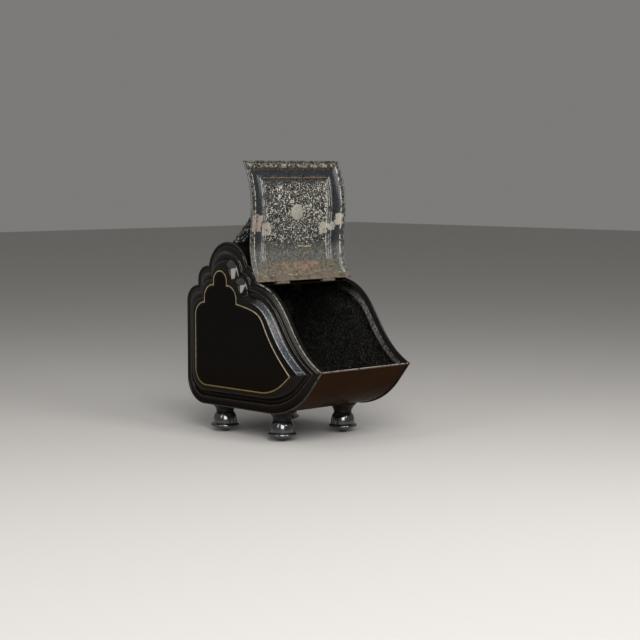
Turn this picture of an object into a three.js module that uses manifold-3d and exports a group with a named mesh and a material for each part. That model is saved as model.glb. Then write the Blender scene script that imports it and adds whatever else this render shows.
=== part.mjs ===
// A lidded coal scuttle of black japanned sheet iron, on four cast feet.
// Millimetres, +Z up, +X to the right of someone who faces the mouth, and the mouth faces -Y.
// The origin is on the ground, under the middle of the body. The lid is modelled open, as it stands at rest.
// Outlines are drawn in the (y, z) plane and run from the lip tip along the bottom, up the back,
// over the lobed crest and down the mouth.
import * as THREE from 'three';
import { mergeVertices } from 'three/addons/utils/BufferGeometryUtils.js';
import Module from 'manifold-3d';

const wasm = await Module();
wasm.setup();

// ---- driving sizes -------------------------------------------------------------------------------------------

const clearance = 0.3;            // left between pieces that touch
const sheetThickness = 1.2;       // the body's sheet iron
const radians = Math.PI / 180;

// the outline of the body, along the middle of the bead that joins its sheets
const bodyDepth = 358.7;          // lip tip to back
const rimSpacing = 215;           // between the two rims, along X
const bodyBottom = 53.5;          // height of the bottom
const lipHeight = 135.2;          // height of the lip tip
const breastRadius = 137;         // the curved front below the lip
const breastSetback = 131.9;      // lip tip to the middle of that curve, along Y
const heelRadius = 45.5;          // the lower back corner
const shoulderTop = 268.5;        // where the rounded shoulder meets the rear side lobe
const shoulderDrop = 28.5;        // height of the rounded shoulder
const crestSetback = 115.5;       // back to the middle of the crest
const crestCentreHeight = 296.5;
const crestRadius = 53.2;         // the large middle lobe
const rearLobeOffset = 58.5;      // crest middle to the middle of the rear side lobe
const rearLobeHeight = 280;
const frontLobeOffset = 48.5;
const frontLobeHeight = 285.5;
const sideLobeRadius = 24.7;
const mouthTopHeight = 280.5;     // where the mouth's curve starts, under the front side lobe
const mouthTopAngle = 188;        // direction of the curve there, from +Y towards +Z
const mouthTopReach = 95;         // how far it holds that direction
const mouthLipAngle = 25.7;       // direction of the curve at the lip, looking back up it
const mouthLipReach = 100.7;

// the raised field of a side panel, bounded by the gilt line
const panelRise = 17;             // how far the field stands proud of the rim
const fieldBackInset = 41.7;
const fieldBottomRise = 36.8;
const fieldTipInset = 61.8;       // lip tip to the field's own tip, along Y
const fieldTipHeight = 125;
const fieldBreastRadius = 98;
const fieldBreastSetback = 139.3; // lip tip to the middle of that curve
const fieldHeelRadius = 29;
const fieldShoulderTop = 241.3;
const fieldShoulderDrop = 25;
const fieldSlopeTop = 242.3;      // where the front lobe runs into the slope
const fieldCrestShift = 4;        // the field's lobes stand a little behind the crest's middle
const fieldLobeOffset = 20.2;
const fieldLobeHeight = 250;
const fieldLobeRadius = 24;
const fieldCrestRadius = 18;
const fieldCrestHeight = 281.7;
const fieldSlopeTipAngle = 42.7;
const fieldSlopeTipReach = 141;
const fieldSlopeTopAngle = 189.2;
const fieldSlopeTopReach = 105;

// the moulding between the rim and the field: [share of the way in, share of the panel's rise]
const mouldingSteps = [[0.07, 0], [0.11, 0.08], [0.24, 0.13], [0.38, 0.27], [0.50, 0.18],
  [0.58, 0.30], [0.66, 0.62], [0.80, 0.90], [1, 1]];

// the bead, the lip wire and the ledges of the mouth
const beadRadius = 2;
const lipWireRadius = 1.6;
const ledgeWidth = 7.5;

// the lid
const lidSwing = 142;             // from shut to standing open, in degrees
const hingeSetback = 16;          // from the top of the mouth to the pins, along the mouth's curve
const hingeRise = 2.6;            // pin axis above the mouth's curve
const lidSideOverhang = 4.2;      // past each rim
const lidLipOverhang = 6.5;       // past the lip
const lidThickness = 1;
const lidRearGap = 6;             // from the pins to the lid's rear edge
const lidEdgeStrip = 8;           // the flat strip round the lid
const lidCoveWidth = 16.6;
const lidCoveRise = 4.6;
const lidReedWidth = 12.8;
const lidPanelRise = 6.6;         // the panel above the edge strip
const lidRearRise = 4;            // width of the rise to the plain band along the hinges
const lidRearBandRise = 3;
const lidRearBandWidth = 25;
const lidRearStep = 3;            // width of the step from that band to the panel
const lidWireRadius = 1.7;

// the lid's knob and its backing plate
const knobPlace = 127;            // from the pins, along the lid
const knobRadius = 12;
const knobHeight = 27;
const knobNeckRadius = 5;
const knobShankRadius = 3;
const backingPlateRadius = 14.5;
const backingPlateThickness = 1.6;
const knobFlatMargin = 2;         // flat panel beyond the plate, either way

// the hinges
const hingeSpread = 56;           // hinge middle from the middle of the lid
const hingeWidth = 29;
const bodyLeafLength = 13;
const lidLeafLength = 15.5;
const leafThickness = 1;
const knuckleRadius = 2.2;
const pinRadius = 1.05;
const endKnuckleWidth = 9;
const rivetSpread = 9;
const rivetShankRadius = 1.2;
const rivetHeadRadius = 2.4;
const rivetHeadHeight = 1;
const bodyRivetPlace = 8.6;       // from the pins
const lidRivetPlace = 11;

// the feet
const footSpacingX = 150;
const frontFootSetback = 136.1;   // lip tip to the front feet
const rearFootInset = 65.4;       // back to the rear feet
const footFlangeRadius = 26.3;
const footFlangeHeight = 12.5;
const footToeRadius = 7.5;
const footBellRadius = 22;
const footWaistRadius = 15.5;
const footWaistHeight = 37;
const collarTopRadius = 27;
const collarTrim = 6;             // height of the collar past the bottom, before it is trimmed to the body
const footBoltRadius = 3;
const footBoltHeadRadius = 6.5;
const footBoltHeadHeight = 3.2;
const footBoltReach = 34;

// the carrying handle
const handleHalfSpan = 84;        // middle to the middle of each end pad
const handleRise = 49;            // grip's middle above the crest
const handleThickness = 6.5;      // half the grip's thickness
const handlePadHalfLength = 11;   // of the leafy end pads, along X
const handlePadHalfDepth = 9;
const handleLeafSwell = 2.6;      // how far the cast leaves stand out
const handleBracketReach = 36;    // of the leafy bracket that fills each end of the bow, inwards from its pad
const handleBracketHeight = 34;
const handleBracketHalfDepth = 7.5;
const handleScrewRadius = 2.4;
const handleScrewHeadRadius = 5;
const handleScrewHeadHeight = 2.6;
const handleScrewReach = 11;

// how finely curves are divided
const breastSteps = 7;
const heelSteps = 5;
const shoulderSteps = 4;
const sideLobeSteps = 4;
const crestSteps = 10;
const mouthSteps = 12;
const handleSteps = 28;
const lidRowSpacing = 15;
const lidWireSteps = 12;
const turnedSides = 16;
const boltSides = 10;
const rivetSides = 8;
const gripSides = 8;
const wireSides = 6;

// ---- finishes ------------------------------------------------------------------------------------------------

const finish = (color, roughness, metalness) => new THREE.MeshStandardMaterial({ color, roughness, metalness });
const japan = finish(0x0d0c0b, 0.28, 0);
const wornJapan = finish(0x34363a, 0.5, 0.3);
const bareSteel = finish(0x8e8c80, 0.5, 0.8);
const rustyIron = finish(0x5a4638, 0.75, 0.4);
const castBlack = finish(0x1a1b1c, 0.3, 0.4);
const castMatt = finish(0x121212, 0.6, 0.3);

// ---- flat geometry -------------------------------------------------------------------------------------------

const point = (y, z) => new THREE.Vector2(y, z);

// points on an ellipse, from one angle to the other, in degrees
function arc(centre, radiusY, radiusZ, from, to, steps) {
  const points = [];
  for (let i = 0; i <= steps; i++) {
    const angle = (from + (to - from) * i / steps) * radians;
    points.push(point(centre.x + radiusY * Math.cos(angle), centre.y + radiusZ * Math.sin(angle)));
  }
  return points;
}

const angleFrom = (centre, p) => Math.atan2(p.y - centre.y, p.x - centre.x) / radians;

// where two circles cross, on the side of larger z
function upperCrossing(centreA, radiusA, centreB, radiusB) {
  const apart = centreA.distanceTo(centreB);
  const along = (radiusA ** 2 - radiusB ** 2 + apart ** 2) / (2 * apart);
  const across = Math.sqrt(Math.max(0, radiusA ** 2 - along ** 2));
  const unit = centreB.clone().sub(centreA).divideScalar(apart);
  const foot = centreA.clone().addScaledVector(unit, along);
  const sides = [1, -1].map((sign) => point(foot.x - sign * across * unit.y, foot.y + sign * across * unit.x));
  return sides[0].y > sides[1].y ? sides[0] : sides[1];
}

// the angle on a circle at which the line to an outside point touches it, on its lower front side
function touchAngle(centre, radius, outside) {
  const apart = centre.distanceTo(outside);
  return angleFrom(centre, outside) + Math.acos(Math.min(1, radius / apart)) / radians;
}

// a smooth curve that leaves each end in a given direction
function easedCurve(start, startAngle, startReach, end, endAngle, endReach) {
  const pull = (from, angle, reach) => point(
    from.x + reach * Math.cos(angle * radians), from.y + reach * Math.sin(angle * radians));
  return new THREE.CubicBezierCurve(
    start, pull(start, startAngle, startReach), pull(end, endAngle, endReach), end);
}

// ---- the two outlines of a side, point for point alike -------------------------------------------------------

const back = bodyDepth / 2;
const lip = point(-bodyDepth / 2, lipHeight);
const crestCentre = point(back - crestSetback, crestCentreHeight);
const rearLobeCentre = point(crestCentre.x + rearLobeOffset, rearLobeHeight);
const frontLobeCentre = point(crestCentre.x - frontLobeOffset, frontLobeHeight);
const mouthTop = point(frontLobeCentre.x - sideLobeRadius, mouthTopHeight);
const mouthCurve = easedCurve(mouthTop, mouthTopAngle, mouthTopReach, lip, mouthLipAngle, mouthLipReach);

// breast and heel: from the tip along the bottom to the foot of the back
function lowerStretches(tip, breastCentre, breast, backLine, bottomLine, heel) {
  const heelCentre = point(backLine - heel, bottomLine + heel);
  return {
    breast: arc(breastCentre, breast, breast, touchAngle(breastCentre, breast, tip), -90, breastSteps),
    heel: arc(heelCentre, heel, heel, -90, 0, heelSteps),
  };
}

function rimOutline() {
  const breastCentre = point(lip.x + breastSetback, bodyBottom + breastRadius);
  const { breast, heel } = lowerStretches(lip, breastCentre, breastRadius, back, bodyBottom, heelRadius);
  const rearNotch = upperCrossing(crestCentre, crestRadius, rearLobeCentre, sideLobeRadius);
  const frontNotch = upperCrossing(crestCentre, crestRadius, frontLobeCentre, sideLobeRadius);
  const shoulderFoot = point(rearLobeCentre.x + sideLobeRadius, shoulderTop - shoulderDrop);
  const shoulder = arc(shoulderFoot, back - shoulderFoot.x, shoulderDrop, 0, 90, shoulderSteps);
  const rearLobe = arc(rearLobeCentre, sideLobeRadius, sideLobeRadius,
    0, angleFrom(rearLobeCentre, rearNotch), sideLobeSteps);
  const crest = arc(crestCentre, crestRadius, crestRadius,
    angleFrom(crestCentre, rearNotch), angleFrom(crestCentre, frontNotch), crestSteps);
  const frontLobe = arc(frontLobeCentre, sideLobeRadius, sideLobeRadius,
    angleFrom(frontLobeCentre, frontNotch), 180, sideLobeSteps);
  const mouth = mouthCurve.getSpacedPoints(mouthSteps);
  return joined(breast, heel, shoulder, rearLobe, crest, frontLobe, mouth);
}

function fieldOutline() {
  const tip = point(lip.x + fieldTipInset, fieldTipHeight);
  const bottomLine = bodyBottom + fieldBottomRise;
  const backLine = back - fieldBackInset;
  const breastCentre = point(lip.x + fieldBreastSetback, bottomLine + fieldBreastRadius);
  const { breast, heel } = lowerStretches(
    tip, breastCentre, fieldBreastRadius, backLine, bottomLine, fieldHeelRadius);
  const middle = crestCentre.x + fieldCrestShift;
  const rearCentre = point(middle + fieldLobeOffset, fieldLobeHeight);
  const frontCentre = point(middle - fieldLobeOffset, fieldLobeHeight);
  const topCentre = point(middle, fieldCrestHeight);
  const shoulderFoot = point(rearCentre.x + fieldLobeRadius, fieldShoulderTop - fieldShoulderDrop);
  const shoulder = arc(shoulderFoot, backLine - shoulderFoot.x, fieldShoulderDrop, 0, 90, shoulderSteps);
  // the middle lobe is a round arch on straight legs, whose feet stand on the side lobes
  const legOffset = fieldCrestRadius - fieldLobeOffset;
  const notchHeight = fieldLobeHeight + Math.sqrt(fieldLobeRadius ** 2 - legOffset ** 2);
  const rearNotch = point(middle + fieldCrestRadius, notchHeight);
  const frontNotch = point(middle - fieldCrestRadius, notchHeight);
  const rearLobe = arc(rearCentre, fieldLobeRadius, fieldLobeRadius,
    0, angleFrom(rearCentre, rearNotch), sideLobeSteps);
  const crest = [rearNotch,
    ...arc(topCentre, fieldCrestRadius, fieldCrestRadius, 0, 180, crestSteps - 2), frontNotch];
  const frontLobe = arc(frontCentre, fieldLobeRadius, fieldLobeRadius,
    angleFrom(frontCentre, frontNotch), 180, sideLobeSteps);
  const slopeTop = point(frontCentre.x - fieldLobeRadius, fieldSlopeTop);
  const slope = easedCurve(slopeTop, fieldSlopeTopAngle, fieldSlopeTopReach,
    tip, fieldSlopeTipAngle, fieldSlopeTipReach).getSpacedPoints(mouthSteps);
  return joined(breast, heel, shoulder, rearLobe, crest, frontLobe, slope);
}

// stretches laid end to end as one closed loop; a stretch that starts where the last one ended shares that point
function joined(...stretches) {
  const loop = [];
  for (const stretch of stretches) {
    const shared = loop.length > 0 && stretch[0].distanceTo(loop[loop.length - 1]) < 1e-6;
    loop.push(...(shared ? stretch.slice(1) : stretch));
  }
  return loop;
}

const rim = rimOutline();
const field = fieldOutline();

// places along the rim's list of points, used to part the body's sheets
const heelStart = breastSteps + 1;
const shoulderEnd = heelStart + heelSteps + 1 + shoulderSteps;
const mouthStart = rim.length - mouthSteps - 1;

// the mouth's curve by distance from its top, running on straight past the lip
const mouthLength = mouthCurve.getLength();
function mouthAt(distance) {
  const share = Math.min(1, Math.max(0, distance / mouthLength));
  const along = mouthCurve.getTangentAt(share);
  const place = mouthCurve.getPointAt(share).addScaledVector(along, distance - share * mouthLength);
  return { place, along, up: point(along.y, -along.x) };
}

function aboveMouth(distance, height) {
  const { place, up } = mouthAt(distance);
  return place.clone().addScaledVector(up, height);
}

// ---- solids --------------------------------------------------------------------------------------------------

function geometryFrom(vertices, triangles) {
  const geometry = new THREE.BufferGeometry();
  geometry.setAttribute('position', new THREE.Float32BufferAttribute(vertices.flat(), 3));
  geometry.setIndex(triangles.flat());
  return geometry;
}

function welded(geometry) {
  const bare = geometry.clone();
  bare.deleteAttribute('normal');
  bare.deleteAttribute('uv');
  const merged = mergeVertices(bare, 1e-4);
  const kept = [];
  const index = merged.index.array;
  for (let i = 0; i < index.length; i += 3) {
    const [a, b, c] = [index[i], index[i + 1], index[i + 2]];
    if (a !== b && b !== c && a !== c) kept.push(a, b, c);
  }
  merged.setIndex(kept);
  return merged;
}

function manifoldOf(geometry) {
  const { attributes, index } = welded(geometry);
  return new wasm.Manifold(new wasm.Mesh({
    numProp: 3,
    vertProperties: new Float32Array(attributes.position.array),
    triVerts: new Uint32Array(index.array),
  }));
}

function geometryOf(manifold) {
  const { vertProperties, triVerts } = manifold.getMesh();
  const geometry = new THREE.BufferGeometry();
  geometry.setAttribute('position', new THREE.BufferAttribute(new Float32Array(vertProperties), 3));
  geometry.setIndex([...triVerts]);
  return geometry;
}

function fused(...geometries) {
  return geometryOf(geometries.map(manifoldOf).reduce((all, next) => all.add(next)));
}

function cut(geometry, ...cutters) {
  return geometryOf(cutters.map(manifoldOf).reduce((all, next) => all.subtract(next), manifoldOf(geometry)));
}

// faces between consecutive rings of equal count, each ring closed on itself
function ringWalls(ringCount, perRing, first = 0) {
  const faces = [];
  for (let k = 0; k + 1 < ringCount; k++) {
    for (let i = 0; i < perRing; i++) {
      const a = first + k * perRing + i;
      const b = first + k * perRing + (i + 1) % perRing;
      faces.push([a, b, b + perRing], [a, b + perRing, a + perRing]);
    }
  }
  return faces;
}

const turnedOver = (faces) => faces.map(([a, b, c]) => [a, c, b]);

// an outline in (y, z) pushed along X
function prism(outline, fromX, toX) {
  const count = outline.length;
  const vertices = [fromX, toX].flatMap((x) => outline.map((p) => [x, p.x, p.y]));
  const cap = THREE.ShapeUtils.triangulateShape(outline, []);
  return geometryFrom(vertices, [
    ...turnedOver(cap), ...cap.map((face) => face.map((v) => v + count)), ...ringWalls(2, count)]);
}

// the line at a given depth inside an open run of points, with mitred corners
function insetRun(run, depth) {
  return run.map((p, i) => {
    const before = i > 0 ? p.clone().sub(run[i - 1]).normalize() : null;
    const after = i + 1 < run.length ? run[i + 1].clone().sub(p).normalize() : null;
    const first = before ?? after;
    const second = after ?? before;
    const inward = point(-(first.y + second.y), first.x + second.x).normalize();
    const square = point(-first.y, first.x);
    return p.clone().addScaledVector(inward, depth / Math.max(0.4, inward.dot(square)));
  });
}

// a strip of sheet whose outer face follows a run of points, between two depths inside it
function stripAlong(run, outerDepth, innerDepth, fromX, toX) {
  return prism([...insetRun(run, outerDepth), ...insetRun(run, innerDepth).reverse()], fromX, toX);
}

// a round rod along a run of frames { place, across, up }, closed on itself or with flat ends;
// across x up points along the run
function rodAlong(frames, radius, sides, closed) {
  const vertices = frames.flatMap(({ place, across, up, stretch = 1 }) => {
    const ring = [];
    for (let j = 0; j < sides; j++) {
      const angle = (j + 0.5) / sides * 2 * Math.PI;
      ring.push(place.clone()
        .addScaledVector(across, radius * stretch * Math.cos(angle))
        .addScaledVector(up, radius * Math.sin(angle)).toArray());
    }
    return ring;
  });
  const faces = ringWalls(frames.length, sides);
  const last = (frames.length - 1) * sides;
  if (closed) {
    for (let j = 0; j < sides; j++) {
      const next = (j + 1) % sides;
      faces.push([last + j, last + next, next], [last + j, next, j]);
    }
  } else {
    for (let j = 1; j + 1 < sides; j++) {
      faces.push([0, j + 1, j], [last, last + j, last + j + 1]);
    }
  }
  return geometryFrom(vertices, faces);
}

// a turned piece: [radius, height] pairs from the axis back to the axis, its axis along Z
function turned(profile, sides) {
  const lathe = new THREE.LatheGeometry(profile.map(([r, h]) => point(r, h)), sides);
  return welded(lathe.rotateX(Math.PI / 2).rotateZ(Math.PI / sides));
}

const rod = (radius, from, to, sides) => turned([[0, from], [radius, from], [radius, to], [0, to]], sides);

// a piece made along Z, stood with its axis along a direction of the (y, z) plane
function stood(geometry, x, foot, up) {
  const axis = new THREE.Vector3(0, up.x, up.y);
  const across = new THREE.Vector3(1, 0, 0);
  const matrix = new THREE.Matrix4().makeBasis(across, axis.clone().cross(across), axis);
  return geometry.applyMatrix4(matrix.setPosition(x, foot.x, foot.y));
}

const stoodOnMouth = (geometry, x, distance, height) =>
  stood(geometry, x, aboveMouth(distance, height), mouthAt(distance).up);

function mirrored(geometry) {
  const copy = geometry.clone();
  const position = copy.attributes.position;
  for (let i = 0; i < position.count; i++) position.setX(i, -position.getX(i));
  const index = [...copy.index.array];
  for (let i = 0; i < index.length; i += 3) [index[i + 1], index[i + 2]] = [index[i + 2], index[i + 1]];
  copy.setIndex(index);
  return copy;
}

// ---- the model -----------------------------------------------------------------------------------------------

const scuttle = new THREE.Group();
const lid = new THREE.Group();
scuttle.add(lid);

function addPiece(name, geometry, material, group = scuttle) {
  const mesh = new THREE.Mesh(geometry, material);
  mesh.geometry.computeVertexNormals();
  mesh.name = name;
  group.add(mesh);
}

const sides = [['left', -1], ['right', 1]];
const halfRim = rimSpacing / 2;
const sheetHalfWidth = halfRim - beadRadius - clearance;

// ---- side panels: pressed sheet, dished outwards from the rim to the field ----

function sidePanel() {
  const count = rim.length;
  const rings = [0, -sheetThickness].map((shift) => mouldingSteps.flatMap(([inward, rise]) =>
    rim.map((p, i) => {
      const at = p.clone().lerp(field[i], inward);
      return [halfRim + panelRise * rise + shift, at.x, at.y];
    })));
  const inner = mouldingSteps.length * count;
  const cap = THREE.ShapeUtils.triangulateShape(field, []);
  const capAt = (first) => cap.map((face) => face.map((v) => v + first));
  const edge = [];
  for (let i = 0; i < count; i++) {
    const next = (i + 1) % count;
    edge.push([inner + i, inner + next, next], [inner + i, next, i]);
  }
  return geometryFrom([...rings[0], ...rings[1]], [
    ...ringWalls(mouldingSteps.length, count), ...capAt(inner - count),
    ...turnedOver(ringWalls(mouldingSteps.length, count, inner)), ...turnedOver(capAt(2 * inner - count)),
    ...edge]);
}

// ---- beads: the wired seam that joins each panel to the sheets, all round its rim ----

function rimBead() {
  const count = rim.length;
  const frames = rim.map((p, i) => {
    const before = p.clone().sub(rim[(i + count - 1) % count]).normalize();
    const after = rim[(i + 1) % count].clone().sub(p).normalize();
    const outward = point(before.y + after.y, -(before.x + after.x)).normalize();
    const stretch = 1 / Math.max(0.5, outward.dot(point(before.y, -before.x)));
    return {
      place: new THREE.Vector3(halfRim, p.x, p.y),
      across: new THREE.Vector3(0, outward.x, outward.y),
      up: new THREE.Vector3(-1, 0, 0),
      stretch,
    };
  });
  return rodAlong(frames, beadRadius, wireSides, true);
}

// ---- ledges: the narrow turned-in edge of each panel along the mouth, on which the shut lid lies ----

const roofFlangeEnd = hingeSetback + 1;

function mouthLedge() {
  const start = roofFlangeEnd + clearance;
  const end = mouthLength - lipWireRadius - clearance;
  const run = [];
  for (let k = 0; k <= mouthSteps; k++) run.push(mouthAt(start + (end - start) * k / mouthSteps).place);
  return stripAlong(run, 0, sheetThickness, sheetHalfWidth - ledgeWidth, sheetHalfWidth);
}

for (const [side, sign] of sides) {
  const handed = (geometry) => (sign > 0 ? geometry : mirrored(geometry));
  addPiece(`side_panel_${side}`, handed(sidePanel()), japan);
  addPiece(`rim_bead_${side}`, handed(rimBead()), japan);
  addPiece(`mouth_ledge_${side}`, handed(mouthLedge()), japan);
}

// ---- feet: a spun collar under the bottom, a cast bell-shaped foot, and a bolt from inside ----

const footRows = [['front', lip.x + frontFootSetback], ['rear', back - rearFootInset]];
const footPlaces = footRows.flatMap(([end, y]) =>
  sides.map(([side, sign]) => ({ name: `${end}_${side}`, x: sign * footSpacingX / 2, y })));

const placedAt = (geometry, { x, y }) => geometry.translate(x, y, 0);
const footBoltHole = (from, to) => rod(footBoltRadius + clearance, from, to, boltSides);
const footBoltTop = bodyBottom + sheetThickness + clearance;
const footBoltTip = footBoltTop - footBoltReach;

// what the body fills, grown by the clearance, to trim what stands against its curved sheets
const bodyFill = prism(insetRun([...rim, rim[0]], -clearance).slice(0, -1), -halfRim, halfRim);

function footCollar() {
  const top = bodyBottom + collarTrim;
  const height = top - footWaistHeight;
  const lean = collarTopRadius - footWaistRadius;
  return turned([[0, footWaistHeight], [footWaistRadius + lean * 0.09, footWaistHeight],
    [footWaistRadius + lean * 0.12, footWaistHeight + height * 0.2],
    [footWaistRadius + lean * 0.4, footWaistHeight + height * 0.5],
    [footWaistRadius + lean * 0.85, footWaistHeight + height * 0.75],
    [collarTopRadius, top], [0, top]], turnedSides);
}

function footBell() {
  const flange = footFlangeHeight;
  const crown = footWaistHeight - clearance;
  const bellHeight = crown - flange;
  return turned([[0, 0], [footToeRadius, 0], [footToeRadius * 1.5, flange * 0.3],
    [footBellRadius * 0.82, flange * 0.68], [footFlangeRadius * 0.94, flange * 0.78], [footFlangeRadius, flange],
    [footFlangeRadius * 0.94, flange * 1.2], [footBellRadius, flange * 1.28],
    [footBellRadius * 0.98, flange + bellHeight * 0.5], [footWaistRadius * 1.23, flange + bellHeight * 0.8],
    [footWaistRadius, crown], [0, crown]], turnedSides);
}

for (const foot of footPlaces) {
  const collar = cut(placedAt(footCollar(), foot), bodyFill, placedAt(footBoltHole(0, footBoltTop), foot));
  const bell = cut(placedAt(footBell(), foot),
    placedAt(footBoltHole(footBoltTip - clearance, footBoltTop), foot));
  const bolt = turned([[0, footBoltTip], [footBoltRadius, footBoltTip], [footBoltRadius, footBoltTop],
    [footBoltHeadRadius, footBoltTop], [footBoltHeadRadius * 0.8, footBoltTop + footBoltHeadHeight],
    [0, footBoltTop + footBoltHeadHeight]], boltSides);
  addPiece(`foot_collar_${foot.name}`, collar, castMatt);
  addPiece(`foot_${foot.name}`, bell, castBlack);
  addPiece(`foot_bolt_${foot.name}`, placedAt(bolt, foot), rustyIron);
}

// ---- body sheets: breast and bottom, back, and the scalloped roof with its hinge flange ----

// a run of the rim's points, drawn back a little at one end or both so that neighbours keep their clearance
function shortened(run, fromStart, fromEnd) {
  const pull = (p, towards, distance) => p.clone().add(towards.clone().sub(p).setLength(distance));
  const inside = run.slice(1, -1);
  const start = fromStart ? pull(run[0], run[1], fromStart) : run[0];
  const end = fromEnd ? pull(run[run.length - 1], run[run.length - 2], fromEnd) : run[run.length - 1];
  return [start, ...inside, end];
}

const sheet = (run) => stripAlong(run, 0, sheetThickness, -sheetHalfWidth, sheetHalfWidth);
const seamGap = clearance / 2;
const footHoles = footPlaces.map((foot) => placedAt(footBoltHole(footWaistHeight, footBoltTop + 1), foot));

const bottomRun = shortened([lip, ...rim.slice(0, heelStart + 1)], lipWireRadius + clearance, seamGap);
addPiece('breast_and_bottom_sheet', cut(sheet(bottomRun), ...footHoles), japan);

const backRun = shortened(rim.slice(heelStart, shoulderEnd + 1), seamGap, seamGap);
addPiece('back_sheet', sheet(backRun), japan);

const lipRod = rod(lipWireRadius, -sheetHalfWidth, sheetHalfWidth, boltSides).rotateY(Math.PI / 2);
addPiece('lip_wire', lipRod.translate(0, lip.x, lip.y), japan);

// ---- carrying handle: one iron casting, with a leafy pad at each end, screwed down on the crest ----

const crestTop = crestCentreHeight + crestRadius;
const handleY = crestCentre.x;

function carryingHandle() {
  const padTop = crestTop + handleThickness;
  // one half of the bow, from an end pad to the grip: [share of the half span, share of the rise]
  const half = [[1, 0.08], [0.86, 0.28], [0.72, 0.52], [0.55, 0.8], [0.3, 0.96]];
  const arch = new THREE.CatmullRomCurve3([
    ...half.map(([out, up]) => [-out, up]), [0, 1], ...half.map(([out, up]) => [out, up]).reverse(),
  ].map(([out, up]) => new THREE.Vector3(out * handleHalfSpan, handleY, crestTop + handleRise * up)));
  const frames = [];
  for (let k = 0; k <= handleSteps; k++) {
    const share = k / handleSteps;
    const along = arch.getTangentAt(share);
    const across = new THREE.Vector3(0, 1, 0);
    const up = along.clone().cross(across);
    // leaves swell the casting in its outer quarters, and leave the grip plain
    const outerQuarter = Math.max(0, Math.abs(share - 0.5) * 4 - 1);
    const swell = 1 + handleLeafSwell / handleThickness * Math.sqrt(outerQuarter) * (k % 2);
    frames.push({
      place: arch.getPointAt(share),
      across: across.multiplyScalar(swell * (1.25 - 0.1 * outerQuarter)),
      up: up.multiplyScalar(swell * 0.85),
    });
  }
  const bow = rodAlong(frames, handleThickness, gripSides, false);
  const pads = [-1, 1].map((sign) => {
    const pad = turned([[0, crestTop - handlePadHalfDepth], [1, crestTop - handlePadHalfDepth],
      [1, padTop], [0.6, padTop + handleThickness], [0, padTop + handleThickness]], boltSides);
    return pad.scale(handlePadHalfLength, handlePadHalfDepth, 1).translate(sign * handleHalfSpan, handleY, 0);
  });
  // a bracket's outline: [share of its reach outwards from the pad's middle, share of its height]
  const bracketOutline = [[-1, -0.3], [0.2, -0.3], [0.2, 0.06], [0.05, 0.3], [-0.3, 0.64], [-0.6, 0.98],
    [-0.8, 1], [-0.94, 0.7], [-0.88, 0.35]].map(([out, up]) => point(
    handleHalfSpan + handleBracketReach * out, crestTop + handleBracketHeight * up));
  const brackets = [-1, 1].map((sign) => prism(bracketOutline, -handleBracketHalfDepth, handleBracketHalfDepth)
    .rotateZ(-sign * Math.PI / 2).translate(0, handleY, 0));
  return cut(fused(bow, ...pads, ...brackets), bodyFill);
}

const handleScrewSeat = crestTop - sheetThickness * 1.5 - clearance;
const handleScrewTip = handleScrewSeat + handleScrewReach;
const handleScrewPlaces = sides.map(([side, sign]) => ({ side, x: sign * handleHalfSpan, y: handleY }));
const handleScrewHoles = handleScrewPlaces.map((place) => placedAt(
  rod(handleScrewRadius + clearance, handleScrewSeat - 1, handleScrewTip + clearance, boltSides), place));
addPiece('carrying_handle', cut(carryingHandle(), ...handleScrewHoles), castMatt);
for (const place of handleScrewPlaces) {
  const screw = turned([[0, handleScrewSeat - handleScrewHeadHeight],
    [handleScrewHeadRadius * 0.8, handleScrewSeat - handleScrewHeadHeight],
    [handleScrewHeadRadius, handleScrewSeat], [handleScrewRadius, handleScrewSeat],
    [handleScrewRadius, handleScrewTip], [0, handleScrewTip]], boltSides);
  addPiece(`handle_screw_${place.side}`, placedAt(screw, place), rustyIron);
}

// ---- hinges: a leaf on the roof's flange, a leaf inside the lid, a pin, and two rivets to each leaf ----

const hingeAxis = aboveMouth(hingeSetback, hingeRise);
const hinges = sides.map(([side, sign]) => ({ side, x: sign * hingeSpread }));
const bodyLeafHeight = hingeRise - knuckleRadius;
const lidUnderside = beadRadius + clearance;
const lidLeafHeight = lidUnderside - clearance - leafThickness;
const knuckleHole = pinRadius + clearance;

const alongHinge = (geometry, x) => geometry.rotateY(Math.PI / 2).translate(x, hingeAxis.x, hingeAxis.y);
const knuckle = (x, width) => alongHinge(rod(knuckleRadius, -width / 2, width / 2, boltSides), x);

// a strip of plate lying over the mouth's curve between two distances from its top
function plateOverMouth(from, to, steps, low, high, fromX, toX) {
  const places = [];
  for (let k = 0; k <= steps; k++) places.push(from + (to - from) * k / steps);
  const under = places.map((d) => aboveMouth(d, low));
  const over = places.map((d) => aboveMouth(d, high));
  return prism([...over, ...under.reverse()], fromX, toX);
}

function leaf(x, reach, length, height, knuckles) {
  const away = Math.sign(reach);
  const ends = (near, far) => [hingeSetback + away * near, hingeSetback + away * far].sort((a, b) => a - b);
  const plate = plateOverMouth(...ends(knuckleRadius + clearance, length), 2,
    height, height + leafThickness, x - hingeWidth / 2, x + hingeWidth / 2);
  const webs = knuckles.map(({ at, width }) => plateOverMouth(...ends(0, knuckleRadius + clearance + 0.5), 1,
    height, height + leafThickness, x + at - width / 2, x + at + width / 2));
  const barrels = knuckles.map(({ at, width }) => knuckle(x + at, width));
  const bore = alongHinge(rod(knuckleHole, -hingeWidth, hingeWidth, boltSides), x);
  return cut(fused(plate, ...webs, ...barrels), bore);
}

const endKnuckles = [-1, 1].map((sign) => (
  { at: sign * (hingeWidth - endKnuckleWidth) / 2, width: endKnuckleWidth }));
const middleKnuckle = [{ at: 0, width: hingeWidth - 2 * endKnuckleWidth - 2 * clearance }];

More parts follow.
